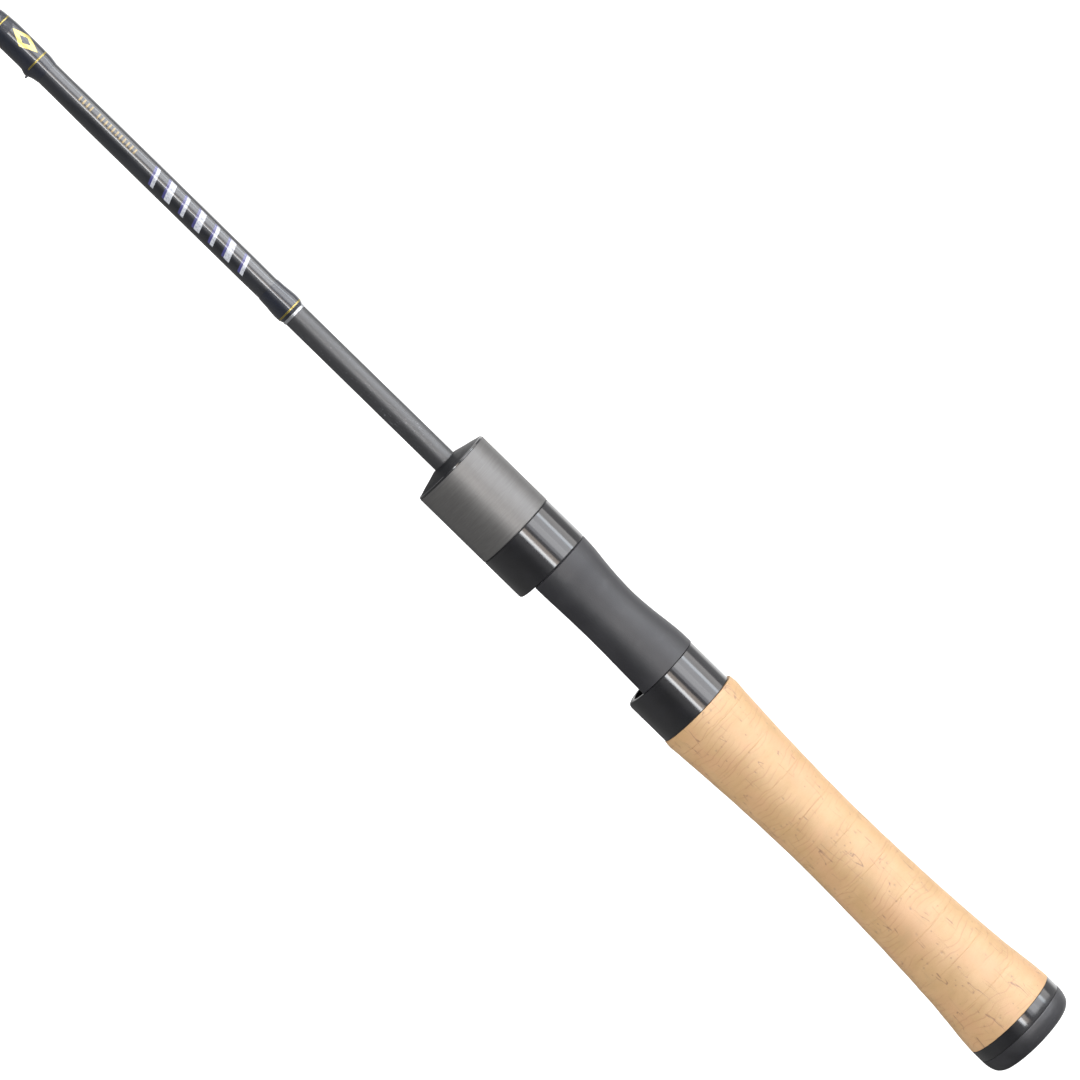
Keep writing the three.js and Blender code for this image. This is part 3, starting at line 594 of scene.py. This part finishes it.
def build_cap():
    start, end, radius = span("butt_cap")
    face = span("butt_ring")[0] - 0.02
    dome = spline([(start, 0), (start, 5), (start, 9.5), (start + 0.34, 13), (start + 1, 14.38),
        (start + 2.2, 15.38), (start + 4.4, radius - 0.16), (face - 0.1, radius - 0.01)], 6)
    rest = [(face, radius - 0.06, 0), (face, PLUG_RADIUS, 0.1), (end - 0.6, PLUG_RADIUS - 0.05, 0),
        (end, PLUG_RADIUS - 0.45, 0.2), (end, 0, 0)]
    piece("butt_cap_rubber", [turned(outer_outline(dome) + rest, closed=False)], RUBBER, ["butt_cap"])


def build_butt_ring():
    start, end, radius = span("butt_ring")
    outline = [(start, radius, 0.3), (end, radius, 0.3), (end, RING_BORE, 0), (start, RING_BORE, 0)]
    piece("butt_ring_polished", [turned(outline)], BLACK, ["butt_ring"])


def cork_outline(nodes):
    """The radius of the grip at any station, smooth through the ends of the CAD discs."""
    known = {}
    for node in nodes:
        for v in frame["nodes"][node].data.vertices:
            x, r = v.co.x / MM, math.hypot(v.co.y, v.co.z) / MM
            key = round(x, 1)
            known[key] = max(known.get(key, 0), r)
    x = np.array(sorted(known))
    keep = np.concatenate([[True], np.diff(x) > 0.5])
    x = x[keep]
    r = np.array([known[key] for key in x])
    slope = np.gradient(r, x)

    def radius(at):
        i = np.clip(np.searchsorted(x, at) - 1, 0, len(x) - 2)
        h = x[i + 1] - x[i]
        t = np.clip((at - x[i]) / h, 0, 1)
        return ((2 * t ** 3 - 3 * t ** 2 + 1) * r[i] + (t ** 3 - 2 * t ** 2 + t) * h * slope[i]
            + (3 * t ** 2 - 2 * t ** 3) * r[i + 1] + (t ** 3 - t ** 2) * h * slope[i + 1])

    return radius


def build_cork():
    nodes = sorted(n for n in frame["nodes"] if n.startswith("cork_ring_"))
    radius = cork_outline(nodes)
    sides = 256
    angles = reel_angles(sides)[None, :]
    for i, node in enumerate(nodes):
        start, end, _ = span(node)
        x = stations(start, (start + 0.12, 0.06), (end - 0.12, 0.3), (end, 0.06))
        seam = np.minimum(x - start, end - x)
        base = radius(x) - 0.05 * (1 - fade(seam, 0, 0.1))
        pits = np.zeros((len(x), sides))
        depth = np.zeros((len(x), sides))
        for _ in range(CHANCE.integers(6, 13)):
            where, turn = CHANCE.uniform(start + 1, end - 1), CHANCE.uniform(0, 2 * math.pi)
            long, wide = CHANCE.uniform(0.3, 0.75), CHANCE.uniform(0.25, 0.42)
            gap = (angles - turn + math.pi) % (2 * math.pi) - math.pi
            away = ((x[:, None] - where) / long) ** 2 + (gap * radius(where) / wide) ** 2
            spot = np.exp(-away * 1.5)
            pits = np.maximum(pits, spot)
            depth += CHANCE.uniform(0.06, 0.2) * spot
        wave = 0.03 * np.sin(angles * 3 + i) * np.sin(x[:, None] * 0.5 + i * 2)
        outer = base[:, None] + wave - depth
        part = skin(x, outer, (CORK_BORE, CORK_BORE), sides)
        marks = np.concatenate([pits.ravel(), np.zeros(2 * sides)])
        piece(f"cork_disc_{i + 1:02d}", [part], CORK, [node], marks=marks, sharp=50)


# ---------------------------------------------------------------- reel seat

SEAT_WAIST = [(159.9, 13.2), (164.9, 13.05), (169.5, 12.6), (175.5, 11.95), (182.5, 11.55),
    (189.5, 11.8), (195.5, 12.35), (200.5, 12.95), (205.5, 13.2)]
SEAT_BORE = 4.7
DECK = 5.8
DECK_INSET = 4.3
DECK_END = 216.6
BARREL_RADIUS = 10.9
THREAD_ROOT = 9.0
THREAD_PITCH = 3.0
THREAD_PHASE = 4.29
CHAMFER_LENGTH = 1.2
CHAMFER_DROP = 0.6
KEYWAY_FLOOR = 8.7
KEYWAY_HALF = 1.7
HOOD_CAVITY = 11.25
HOOD_WALL = 2.5
HOOD_BLANK_HOLE = 4.1
FRONT_HOOD_BORE = 11.2
SPIGOT_START = 217.2
SPIGOT_BORE = 10.4
SNAP_LENGTH = 1.2
SNAP_RADIUS = 12.35
NUT_BACK = 11.75
KEY_RADIUS = 1.4
SLEEVE_BORE = 12.1
SLEEVE_GROOVE = 12.65
NUT_BORE = 4.27


def build_seat():
    start, end, _ = span("seat_body")
    shoulder, front = span("rear_hood")[1], span("front_hood")[0] - 0.1
    deck_start, deck_end = start + DECK_INSET, DECK_END
    sides = 288
    angles = reel_angles(sides)[None, :]
    x = stations(start, (deck_start - 0.05, 2), (deck_start + 0.05, 0.1), (shoulder, 2),
        (shoulder + 0.12, 0.06), (front - 0.3, 0.7), (front, 0.06), (front + 0.05, 0.05),
        (deck_end - 0.05, 1), (deck_end + 0.05, 0.1), (end - CHAMFER_LENGTH, 0.13), (end, 0.2))
    waist = spline(SEAT_WAIST, 12)
    body = np.interp(x, waist[:, 0], waist[:, 1])
    body -= 0.25 * (1 - fade(front - x, 0, 0.3))
    barrel = np.where(x < deck_end, BARREL_RADIUS, THREAD_ROOT)
    body = np.where((x > shoulder) & (x <= front), body, barrel)
    chamfer = THREAD_ROOT - CHAMFER_DROP * fade(x, end - CHAMFER_LENGTH, end)
    body = np.where(x > end - CHAMFER_LENGTH, chamfer, body)
    outer = np.repeat(body[:, None], sides, 1)
    turn = np.arctan2(-np.cos(angles), np.sin(angles))
    ridge = (x[:, None] / THREAD_PITCH - (turn - THREAD_PHASE) / (2 * math.pi) + 0.5) % 1 - 0.5
    crest = 1 - fade(np.abs(ridge) * THREAD_PITCH, 0.42, 0.82)
    ends = fade(x, deck_end - 0.5, deck_end + 0.6) * (1 - fade(x, end - 1.8, end - 1))
    outer = outer + np.where(x[:, None] > deck_end, crest * ends[:, None], 0)
    flat = np.where(np.cos(angles) > 0.05, DECK / np.maximum(np.cos(angles), 0.05), 99)
    on_deck = ((x > deck_start) & (x < deck_end))[:, None]
    eased = soft_least(outer, flat, 0.35)
    outer = np.where(on_deck, eased, outer)
    up = -np.cos(angles)
    key = (np.abs(np.sin(angles) * outer) < KEYWAY_HALF) & (up > 0) & (x[:, None] > front + 0.2)
    outer = np.where(key, np.minimum(outer, KEYWAY_FLOOR / np.maximum(up, 0.1)), outer)
    piece("reel_seat", [skin(x, outer, (SEAT_BORE, SEAT_BORE), sides)], SOFT, ["seat_body"], sharp=42)


def soft_least(a, b, ease):
    """The lesser of a and b, with the corner between them rounded."""
    gap = np.clip(0.5 + 0.5 * (b - a) / ease, 0, 1)
    return b + (a - b) * gap - ease * gap * (1 - gap)


def build_rear_hood():
    start, end, radius = span("rear_hood")
    low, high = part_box("rear_hood")
    drop = -(low.z + high.z) / 2 / MM
    floor = start + HOOD_WALL

    def outline(lip):
        return [(start, radius, 0.12), (end, radius, lip), (end, HOOD_CAVITY, 0.25),
            (floor, HOOD_CAVITY, 0.1), (floor, HOOD_BLANK_HOLE, 0), (start, HOOD_BLANK_HOLE, 0)]

    points, faces = turned(outline(0.45), reel_outline=outline(1.5))
    outside = np.hypot(points[:, 1], points[:, 2]) > HOOD_CAVITY + 0.35
    points[:, 2] -= np.where(outside, drop, 0)
    piece("rear_hood_shell", [(points, faces)], BLACK, ["rear_hood"])


def build_front_hood():
    start, lip_end, radius = span("front_hood")
    end = span("thrust_washer")[0] + 0.1
    lip = lip_end - SNAP_LENGTH

    def outline(mouth):
        return [(start, radius, mouth), (end, radius, 0.1), (end, NUT_BACK, 0.1), (lip, NUT_BACK, 0.05),
            (lip, SNAP_RADIUS, 0.15), (lip_end, SNAP_RADIUS - 0.25, 0.2), (lip_end, SPIGOT_BORE, 0.2),
            (SPIGOT_START, SPIGOT_BORE, 0.1), (SPIGOT_START, FRONT_HOOD_BORE, 0.1),
            (start, FRONT_HOOD_BORE, 0.25)]

    shell = turned(outline(0.4), reel_outline=outline(1.1))
    steps = np.linspace(0, end - start - 1.3, 12)
    key_line = np.array([(start + 1.1 + t, 0, SPIGOT_BORE) for t in steps])
    key = wire(key_line, KEY_RADIUS, 24, KEY_RADIUS - 0.02)
    key[0][:, 2] = np.clip(key[0][:, 2], 9.05, 11.8)
    piece("front_hood_shell", [shell, key], BLACK, ["front_hood"])
    start, end, radius = span("thrust_washer")
    start, end, radius = start + 0.12, end - 0.12, radius + 0.22
    inside = NUT_BACK + 0.1
    washer = [(start, radius, 0.1), (end, radius, 0.1), (end, inside, 0.05), (start, inside, 0.05)]
    piece("hood_washer", [turned(washer)], NYLON, ["thrust_washer"])


def build_nut():
    start, end, radius = span("nut_sleeve")
    start -= 0.1
    groove, groove_end = start + 1.1, start + 2.9
    sleeve = [(start, radius, 0.1), (end, radius, 0.12), (end, SLEEVE_BORE, 0.1),
        (groove_end, SLEEVE_BORE, 0.1), (groove_end, SLEEVE_GROOVE, 0.1), (groove, SLEEVE_GROOVE, 0.1),
        (groove, SLEEVE_BORE - 0.05, 0.1), (start, SLEEVE_BORE - 0.05, 0.2)]
    piece("nut_sleeve_brushed", [turned(sleeve, 224)], METAL, ["nut_sleeve"])
    start, tip, radius = span("nut_end_cap")
    rim = end + 0.05
    collar = rim + 0.5
    inside = SLEEVE_BORE - 0.1
    cap = [(start, inside, 0.2), (rim, inside, 0.02), (rim, radius - 0.1, 0.04),
        (collar, radius - 0.14, 0.14), (collar + 0.12, radius - 0.9, 0.1), (rim + 1.25, 10.45, 0.5),
        (rim + 2.15, 7.05, 0.6), (tip, 4.75, 0.25), (tip, NUT_BORE, 0.1), (start, NUT_BORE, 0)]
    piece("nut_cap_polished", [turned(cap, 224)], [BLACK, SATIN], ["nut_end_cap"],
        finish_of=lambda station: int(station > collar + 0.1))


# ---------------------------------------------------------------- blank

# Where the clear coat rises from the bare blank, and where it thins again
COAT_START = 318.9
COAT_FULL = 332.9
COAT_THIN = 397
COAT_END = 411
TAPER_START = 415
TIP_SOCKET = 61
TIP_BORE_END = 1150


def taper(node):
    """The outer radius of a blank at any station, from its CAD node."""
    rings = {}
    for v in frame["nodes"][node].data.vertices:
        key = round(v.co.x / MM, 2)
        rings[key] = max(rings.get(key, 0), math.hypot(v.co.y, v.co.z) / MM)
    x = np.array(sorted(rings))
    r = np.array([rings[key] for key in x])
    return lambda at: np.interp(at, x, r)


def outer_outline(pairs):
    """An outline of (station, radius) pairs with no rounding."""
    return [(x, r, 0) for x, r in pairs]


def build_blanks():
    start, end, _ = span("butt_blank")
    radius = taper("butt_blank")
    mouth = span("tip_blank")[0] - 0.6
    bare_end = span("lower_winding")[0]
    rise = span("lower_winding")[1]
    x = np.concatenate([[start, bare_end, COAT_START], np.linspace(321, COAT_FULL, 8), [381, COAT_THIN],
        np.linspace(399, COAT_END, 8),
        [TAPER_START, 430, 600, mouth - 0.2, mouth, mouth + 0.5, end - 0.4, end]])
    r = radius(x)
    r[-1] -= 0.3
    outline = outer_outline(zip(x, r)) + [(end, 2.0, 0.2), (start, 3.0, 0)]

    def finish_of(station):
        if station < bare_end or station > mouth:
            return 0
        # The stretch that carries the marks, then the rest of the coated blank
        return 1 if rise < station < TAPER_START else 2

    piece("butt_blank_tube", [turned(outline, 96)], [CARBON, MARKED, COATED], ["butt_blank"],
        finish_of=finish_of)
    start, end, _ = span("tip_blank")
    radius = taper("tip_blank")
    x = np.concatenate([[start, start + 0.4, start + 10, start + 23], np.linspace(start + 25, 925, 5),
        np.linspace(960, end, 24)])
    r = radius(x)
    r[0] = 3.35
    outline = outer_outline(zip(x, r)) + [(end, 0, 0), (TIP_BORE_END, 0, 0), (TIP_BORE_END, 1.2, 0),
        (mouth + TIP_SOCKET, 2.8, 0), (start, 2.95, 0.2)]
    piece("tip_blank_tube", [turned(outline, 80)], COATED, ["tip_blank"])


# ---------------------------------------------------------------- windings

WRAP_THICKNESS = 0.3


def winding_skin(start, end, under, thick, sides=96, ease=1.0, foot=None):
    """A winding over the blank whose radius is under(x), and over a guide's foot if there is one.
    foot is (thin end, root, height, half width)."""
    x = stations(start, (start + ease, ease / 8), (end - ease, 0.35), (end, ease / 8))
    shoulder = np.sqrt(fade(np.minimum(x - start, end - x), -0.02, ease))
    base = under(x) + 0.05 + thick * shoulder
    outer = np.repeat(base[:, None], sides, 1)
    if foot:
        thin, root, height, half = foot
        side = 1 if root > thin else -1
        rise = height * fade((x - thin) * side, -1.2, 2.6)
        gap = np.abs((reel_angles(sides) + math.pi) % (2 * math.pi) - math.pi)[None, :]
        top = base[:, None] + rise[:, None]
        edge = np.arctan2(half, top)
        corner = np.hypot(half, top)
        touch = edge + np.arccos(np.clip(base[:, None] / corner, -1, 1))
        flat = top / np.cos(np.minimum(gap, edge))
        slope = base[:, None] / np.cos(np.clip(touch - gap, 0, 1.2))
        outer = np.where(gap <= edge, flat, np.where(gap < touch, slope, base[:, None]))
        for _ in range(2):
            outer = (np.roll(outer, 1, 1) + 2 * outer + np.roll(outer, -1, 1)) / 4
    return skin(x, outer, (under(start) + 0.04, under(end) + 0.04), sides)


def band(node, name, finish, proud=0.03):
    """A narrow winding with a rounded back."""
    start, end, radius = span(node)
    inner = radius - 0.22
    outer = radius + proud
    outline = [(start, outer, 0.14), (end, outer, 0.14), (end, inner, 0), (start, inner, 0)]
    piece(name, [turned(outline, 96)], finish, [node])


LOWER_WRAP = [(314.7, 4.1), (315.2, 4.3), (316, 4.52), (317.5, 4.61), (319.2, 4.51), (321.5, 4.27),
    (323.3, 4.16), (324.9, 4.06)]
UPPER_WRAP = [(416.8, 3.97), (417.8, 4.12), (419.4, 4.36), (421.5, 4.43), (425.5, 4.5), (431.5, 4.54),
    (434, 4.47), (436, 4.31), (438, 4.13), (439.5, 3.97)]
KEEPER_FOOT = 4.23
KEEPER_TOP = 5.5
KEEPER_WIRE = 0.34
EPOXY_RISE = 0.72
EPOXY_LENGTH = 1.45
EPOXY_SPREAD = 0.75


def build_butt_windings():
    low = spline(LOWER_WRAP, 6)
    outer = np.repeat(low[:, 1:], 96, 1)
    piece("lower_wrap", [skin(low[:, 0], outer, (3.94, 4.02), 96)], WINDING, ["lower_winding"])
    band("lower_trim", "lower_trim_gold", GOLD, 0.03)
    start, end, silver = span("lower_ring")
    outline = [(start, silver, 0.2), (end, silver, 0.2), (end, 3.92, 0), (start, 3.92, 0)]
    piece("lower_ring_silver", [turned(outline, 96)], SILVER, ["lower_ring"])

    up = spline(UPPER_WRAP, 8)
    x = up[:, :1]
    keeper_low, keeper_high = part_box("hook_keeper")
    middle = (keeper_low.x + keeper_high.x) / 2 / MM
    gap = np.abs((reel_angles(96) + math.pi) % (2 * math.pi) - math.pi)[None, :]
    epoxy = EPOXY_RISE * np.exp(-((x - middle - 0.7) / EPOXY_LENGTH) ** 2 - (gap / EPOXY_SPREAD) ** 4)
    piece("upper_wrap", [skin(up[:, 0], up[:, 1:] + epoxy, (3.93, 3.88), 96)], WINDING_MARKED,
        ["upper_winding"])
    band("upper_trim_1", "upper_trim_gold_1", GOLD, 0.01)
    band("upper_trim_2", "upper_trim_gold_2", GOLD, 0.01)
    turns = [(-0.58, KEEPER_FOOT - 0.2), (-0.5, KEEPER_FOOT + 0.25), (-0.36, 5.15), (0, KEEPER_TOP),
        (0.36, 5.15), (0.5, KEEPER_FOOT + 0.25), (0.58, KEEPER_FOOT - 0.2)]
    line = spline([(middle, math.sin(a) * r, -math.cos(a) * r) for a, r in turns], 10)
    piece("keeper_wire", [wire(line, KEEPER_WIRE, 20, up=(1, 0, 0))], STEEL, ["hook_keeper"])


def build_ferrule():
    radius = taper("tip_blank")
    start, end, _ = span("ferrule_winding")
    piece("ferrule_wrap", [winding_skin(start, end, radius, WRAP_THICKNESS)], WINDING, ["ferrule_winding"])
    band("ferrule_trim", "ferrule_trim_gold", GOLD)


# ---------------------------------------------------------------- guides

DOUBLE_FOOT = 11
SINGLE_FOOT = 8
FOOT_HEIGHT = 0.82
FOOT_HALF = 0.9


def ring_part(x, inner, outer, half, drop, soft):
    """The metal band round a guide ring."""
    outline = [(x - half, inner, soft), (x - half, outer, soft),
        (x + half, outer, soft), (x + half, inner, soft)]
    return turned(outline, 72, drop)


def leg(root, foot_z, x, spread, drop, sink, radius):
    """A leg from a foot's root round to the side of the ring's band."""
    half = 0.32
    for side in (-1, 1):
        start = np.array((root, side * half, foot_z))
        end = np.array((x, side * spread, -drop + sink))
        middle = start * 0.5 + end * 0.5 + np.array((0, side * spread * 0.1, -0.05 * drop))
        yield wire(spline([start, middle, end], 14), radius, 16, up=(1, 0, 0.01))


def foot_part(thin, root, top, half=0.9, height=0.7):
    """A foot lying along the blank, thin at one end."""
    line = np.linspace((thin, 0, top), (root, 0, top), 24)
    share = np.linspace(0, 1, 24)
    tall = height / 2 * (0.35 + 0.65 * fade(share, 0, 0.35))
    wide = half * (0.45 + 0.55 * np.sqrt(np.minimum(share * 5, 1)))
    line[:, 2] -= tall
    return wire(line, tall, 20, wide)


def ring_sizes(name):
    """A guide ring's station, drop below the rod's axis, outer radius and half width."""
    low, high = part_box(f"{name}_ring")
    x = (low.x + high.x) / 2 / MM
    drop = -(low.z + high.z) / 2 / MM
    outer = (high.z - low.z) / 2 / MM + 0.08
    return x, drop, outer, (high.x - low.x) / 2 / MM


def build_ring(name):
    x, drop, outer, half = ring_sizes(name)
    wall = half / 0.9
    outline = [(x - half, outer - wall * 0.4, 0.1), (x - half * 0.75, outer - 0.08, 0.1),
        (x + half * 0.75, outer - 0.08, 0.1), (x + half, outer - wall * 0.4, 0.1),
        (x + half * 0.62, outer - wall * 0.97, 0.25 * wall),
        (x - half * 0.62, outer - wall * 0.97, 0.25 * wall)]
    piece(f"{name}_polished", [turned(outline, 96, drop)], CERAMIC, [f"{name}_ring"])


def build_guide(name, blank, feet, band_half, wire_radius):
    """feet is a list of (root, which way the foot points, how far up the ring its legs lean,
    length of the foot)."""
    x, drop, outer, _ = ring_sizes(name)
    parts = [ring_part(x, outer + 0.02, outer + 0.78, band_half, drop, 0.22)]
    for root, way, lean, length in feet:
        top = -(blank(root) + 0.12)
        thin = root + way * length
        parts.append(foot_part(thin, root, top))
        spread = outer + 0.4
        legs = leg(root + way * 0.5, top - wire_radius * 0.8, x, spread * math.cos(lean), drop,
            spread * math.sin(lean), wire_radius)
        parts.extend(legs)
    piece(f"{name}_steel", parts, STEEL, [f"{name}_frame"])
    build_ring(name)


def build_guides():
    butt, tip = taper("butt_blank"), taper("tip_blank")
    for name, band_half, wire_radius in (("guide_1", 0.75, 0.7), ("guide_2", 0.65, 0.6)):
        x, drop, _, _ = ring_sizes(name)
        rear, front = x - drop * 0.75, x + drop * 0.5
        feet = [(rear, -1, 0.35, DOUBLE_FOOT), (front, 1, 0.1, DOUBLE_FOOT)]
        build_guide(name, butt, feet, band_half, wire_radius)
        for word, root, way in (("rear", rear, -1), ("front", front, 1)):
            start, end, _ = span(f"{name}_winding_{word}")
            foot = (root + way * DOUBLE_FOOT, root, FOOT_HEIGHT, FOOT_HALF)
            part = winding_skin(start, end, butt, WRAP_THICKNESS, foot=foot)
            piece(f"{name}_wrap_{word}", [part], WINDING, [f"{name}_winding_{word}"])
    for number in range(3, 8):
        name = f"guide_{number}"
        x, drop, _, _ = ring_sizes(name)
        low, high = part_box(f"{name}_frame")
        band_half = high.x / MM - x
        root = x - drop * 0.55
        build_guide(name, tip, [(root, -1, 0.5, SINGLE_FOOT)], band_half, band_half * 0.95)
        start, end, _ = span(f"{name}_winding")
        foot = (root - SINGLE_FOOT, root, FOOT_HEIGHT, FOOT_HALF)
        part = winding_skin(start, end, tip, WRAP_THICKNESS, 80, foot=foot)
        piece(f"{name}_wrap", [part], WINDING, [f"{name}_winding"])


def build_tip_top():
    x, drop, outer, _ = ring_sizes("tip_top")
    low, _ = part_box("tip_top_frame")
    start = low.x / MM
    end = start + 11
    blank = taper("tip_blank")
    inner = blank(start) + 0.06
    sleeve = [(start, inner + 0.4, 0.12), (end, inner + 0.4, 0.3), (end, 0, 0), (end - 0.8, 0, 0),
        (end - 0.8, inner, 0), (start, inner, 0)]
    parts = [turned(sleeve, 64)]
    parts.append(ring_part(x, outer + 0.02, outer + 0.78, 0.4, drop, 0.15))
    spread = outer + 0.4
    parts.extend(leg(end - 0.6, -0.4, x, spread * math.cos(0.6), drop, spread * math.sin(0.6), 0.4))
    stay = spline([(end - 6, 0, -inner - 0.2), ((end + x) / 2 - 2, 0, -drop * 0.8),
        (x, 0, -drop - outer - 0.4)])
    parts.append(wire(stay, 0.4, 16, up=(0, 1, 0)))
    piece("tip_top_steel", parts, STEEL, ["tip_top_frame"])
    build_ring("tip_top")
    start, end, _ = span("tip_top_winding")
    part = winding_skin(start, end, blank, WRAP_THICKNESS, 64, 0.8)
    piece("tip_top_wrap", [part], WINDING, ["tip_top_winding"])


def finish_hidden():
    """The CAD nodes inside the seat and the nut stay as they are, with their own finish."""
    for node, finish in (("nut_bush", NYLON), ("arbor_rear", FOAM), ("arbor_front", FOAM)):
        mesh = frame["nodes"][node].data
        mesh.materials.clear()
        mesh.materials.append(finish)


# ---------------------------------------------------------------- stage

def camera_axes():
    """The camera's place, and its right, up and back directions."""
    rise = math.radians(CAMERA_ELEVATION)
    away, above = CAMERA_DISTANCE * math.cos(rise), CAMERA_DISTANCE * math.sin(rise)
    place_mm = Vector((CAMERA_STATION, away, above))
    aim = Vector((AIM_STATION, 0, 0))
    back = (place_mm - aim).normalized()
    along = Vector((-1, 0, 0))
    along = (along - along.dot(back) * back).normalized()
    across = back.cross(along)
    slope = math.radians(ROD_SLOPE)
    right = along * math.cos(slope) + across * math.sin(slope)
    up = across * math.cos(slope) - along * math.sin(slope)
    return place_mm + across * AIM_LIFT, right, up, back


def build_camera():
    place_mm, right, up, back = camera_axes()
    data = bpy.data.cameras.new("photo_camera")
    data.lens = CAMERA_LENS
    data.clip_start, data.clip_end = 0.05, 200
    camera = bpy.data.objects.new("photo_camera", data)
    camera.matrix_world = Matrix((right, up, back)).transposed().to_4x4()
    camera.location = place_mm * MM
    bpy.context.scene.collection.objects.link(camera)
    bpy.context.scene.camera = camera


def soft_light(name, angle, width, distance, radiance, length=0.85, centre=0.16, matt=True,
        gloss=True, tint=(1, 1, 1)):
    """A long panel beside the rod, angle degrees above the camera's direction round the axis.
    One that is not matt shows only in polished surfaces, one that is not gloss never does."""
    turn = math.radians(CAMERA_ELEVATION + angle)
    away = Vector((0, math.cos(turn), math.sin(turn)))
    tall = 2 * distance * math.tan(math.radians(width) / 2)
    data = bpy.data.lights.new(name, "AREA")
    data.shape = "RECTANGLE"
    data.size, data.size_y = length, tall
    data.energy = radiance * math.pi * length * tall
    data.color = tint
    light = bpy.data.objects.new(name, data)
    along = Vector((1, 0, 0))
    light.matrix_world = Matrix((along, away.cross(along), away)).transposed().to_4x4()
    light.location = away * distance + Vector((centre, 0, 0))
    light.visible_camera = False
    light.visible_diffuse = matt
    light.visible_glossy = gloss
    bpy.context.scene.collection.objects.link(light)


def build_world():
    """White to the camera. Reflections see a dim room, bright behind the rod and darkest just
    below the horizon, and matt surfaces get more light from below than from above."""
    world = bpy.data.worlds.new("studio")
    world.use_nodes = True
    tree = world.node_tree
    link = tree.links.new

    def node(kind, *inputs):
        made = tree.nodes.new("ShaderNode" + kind)
        for socket, value in enumerate(inputs):
            if isinstance(value, bpy.types.NodeSocket):
                link(value, made.inputs[socket])
            elif value is not None:
                made.inputs[socket].default_value = value
        return made

    def ramp(value, low, high, to_low, to_high):
        made = node("MapRange", value, low, high, to_low, to_high)
        made.interpolation_type = "SMOOTHSTEP"
        return made.outputs[0]

    def times(first, second):
        made = node("Math", first, second)
        made.operation = "MULTIPLY"
        return made.outputs[0]

    def plus(first, second):
        return node("Math", first, second).outputs[0]

    white = (1, 1, 1, 1)
    split = node("SeparateXYZ", node("TexCoord").outputs["Generated"])
    toward, height = split.outputs[1], split.outputs[2]
    behind = times(ramp(toward, -0.93, -0.78, 0.95, 0), ramp(height, -0.3, -0.1, 0, 1))
    under = plus(ramp(height, -0.25, 0.15, 0.12, 0.55), ramp(height, -1.0, -0.4, 0.16, 0))
    mirror = node("Background", white, plus(under, behind))
    matt = node("Background", white, ramp(height, -0.3, 0.5, 1.2, 0.6))
    rays = node("LightPath").outputs
    room = node("MixShader", rays["Is Glossy Ray"], matt.outputs[0], mirror.outputs[0])
    backdrop = node("Background", white, 1.1)
    seen = node("MixShader", rays["Is Camera Ray"], room.outputs[0], backdrop.outputs[0])
    link(seen.outputs[0], tree.nodes["World Output"].inputs["Surface"])
    bpy.context.scene.world = world


def build_stage():
    mesh = bpy.data.meshes.new("floor")
    size, level = 40, -0.35
    corners = [(-size, -size, level), (size, -size, level), (size, size, level), (-size, size, level)]
    mesh.from_pydata(corners, [], [(0, 1, 2, 3)])
    paper = Finish("floor", "paper", Roughness=0.9)
    tooth = paper.noise(paper.at(0.01), 2.0)
    paper.set(Base_Color=paper.mix(tooth, (0.93, 0.93, 0.93, 1), (0.96, 0.96, 0.96, 1)))
    paper.set(Emission_Color=(1, 1, 1, 1), Emission_Strength=0.7)
    mesh.materials.append(paper.material)
    floor = bpy.data.objects.new("floor", mesh)
    floor.visible_glossy = False
    floor.visible_diffuse = False
    bpy.context.scene.collection.objects.link(floor)
    floor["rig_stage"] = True

    build_world()
    bpy.context.scene.view_settings.view_transform = "Standard"

    soft_light("softbox_wide", 52, 44, 1.2, 2.05, tint=(0.97, 0.985, 1.05))
    soft_light("front_fill", -8, 40, 1.2, 1.3, gloss=False)
    soft_light("edge_fill", 84, 30, 1.2, 0.8, gloss=False)
    soft_light("softbox", 46, 16, 1.2, 2.4)
    soft_light("softbox_top", 62, 18, 1.2, 1.6)
    soft_light("edge_strip", 76, 9, 1.2, 4.6, matt=False, tint=(0.9, 1, 1.1))
    soft_light("edge_glow", 88, 28, 1.2, 2.3, tint=(1.03, 1, 0.98))
    soft_light("low_strip", 7.4, 8, 1.15, 9.5, matt=False, tint=(0.96, 1, 1.04))
    soft_light("low_glow", 14, 14, 1.15, 2.8, matt=False, tint=(1.18, 1, 0.86))
    soft_light("tip_softbox", 55, 40, 1.2, 3.0, length=1.1, centre=1.25)


build_cap()
build_butt_ring()
build_cork()
build_seat()
build_rear_hood()
build_front_hood()
build_nut()
build_blanks()
build_butt_windings()
build_ferrule()
build_guides()
build_tip_top()
finish_hidden()
build_camera()
build_stage()

boxes = {"cad": cad_box, "visual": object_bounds()}
{name: [list(corner) for corner in box] for name, box in boxes.items()}
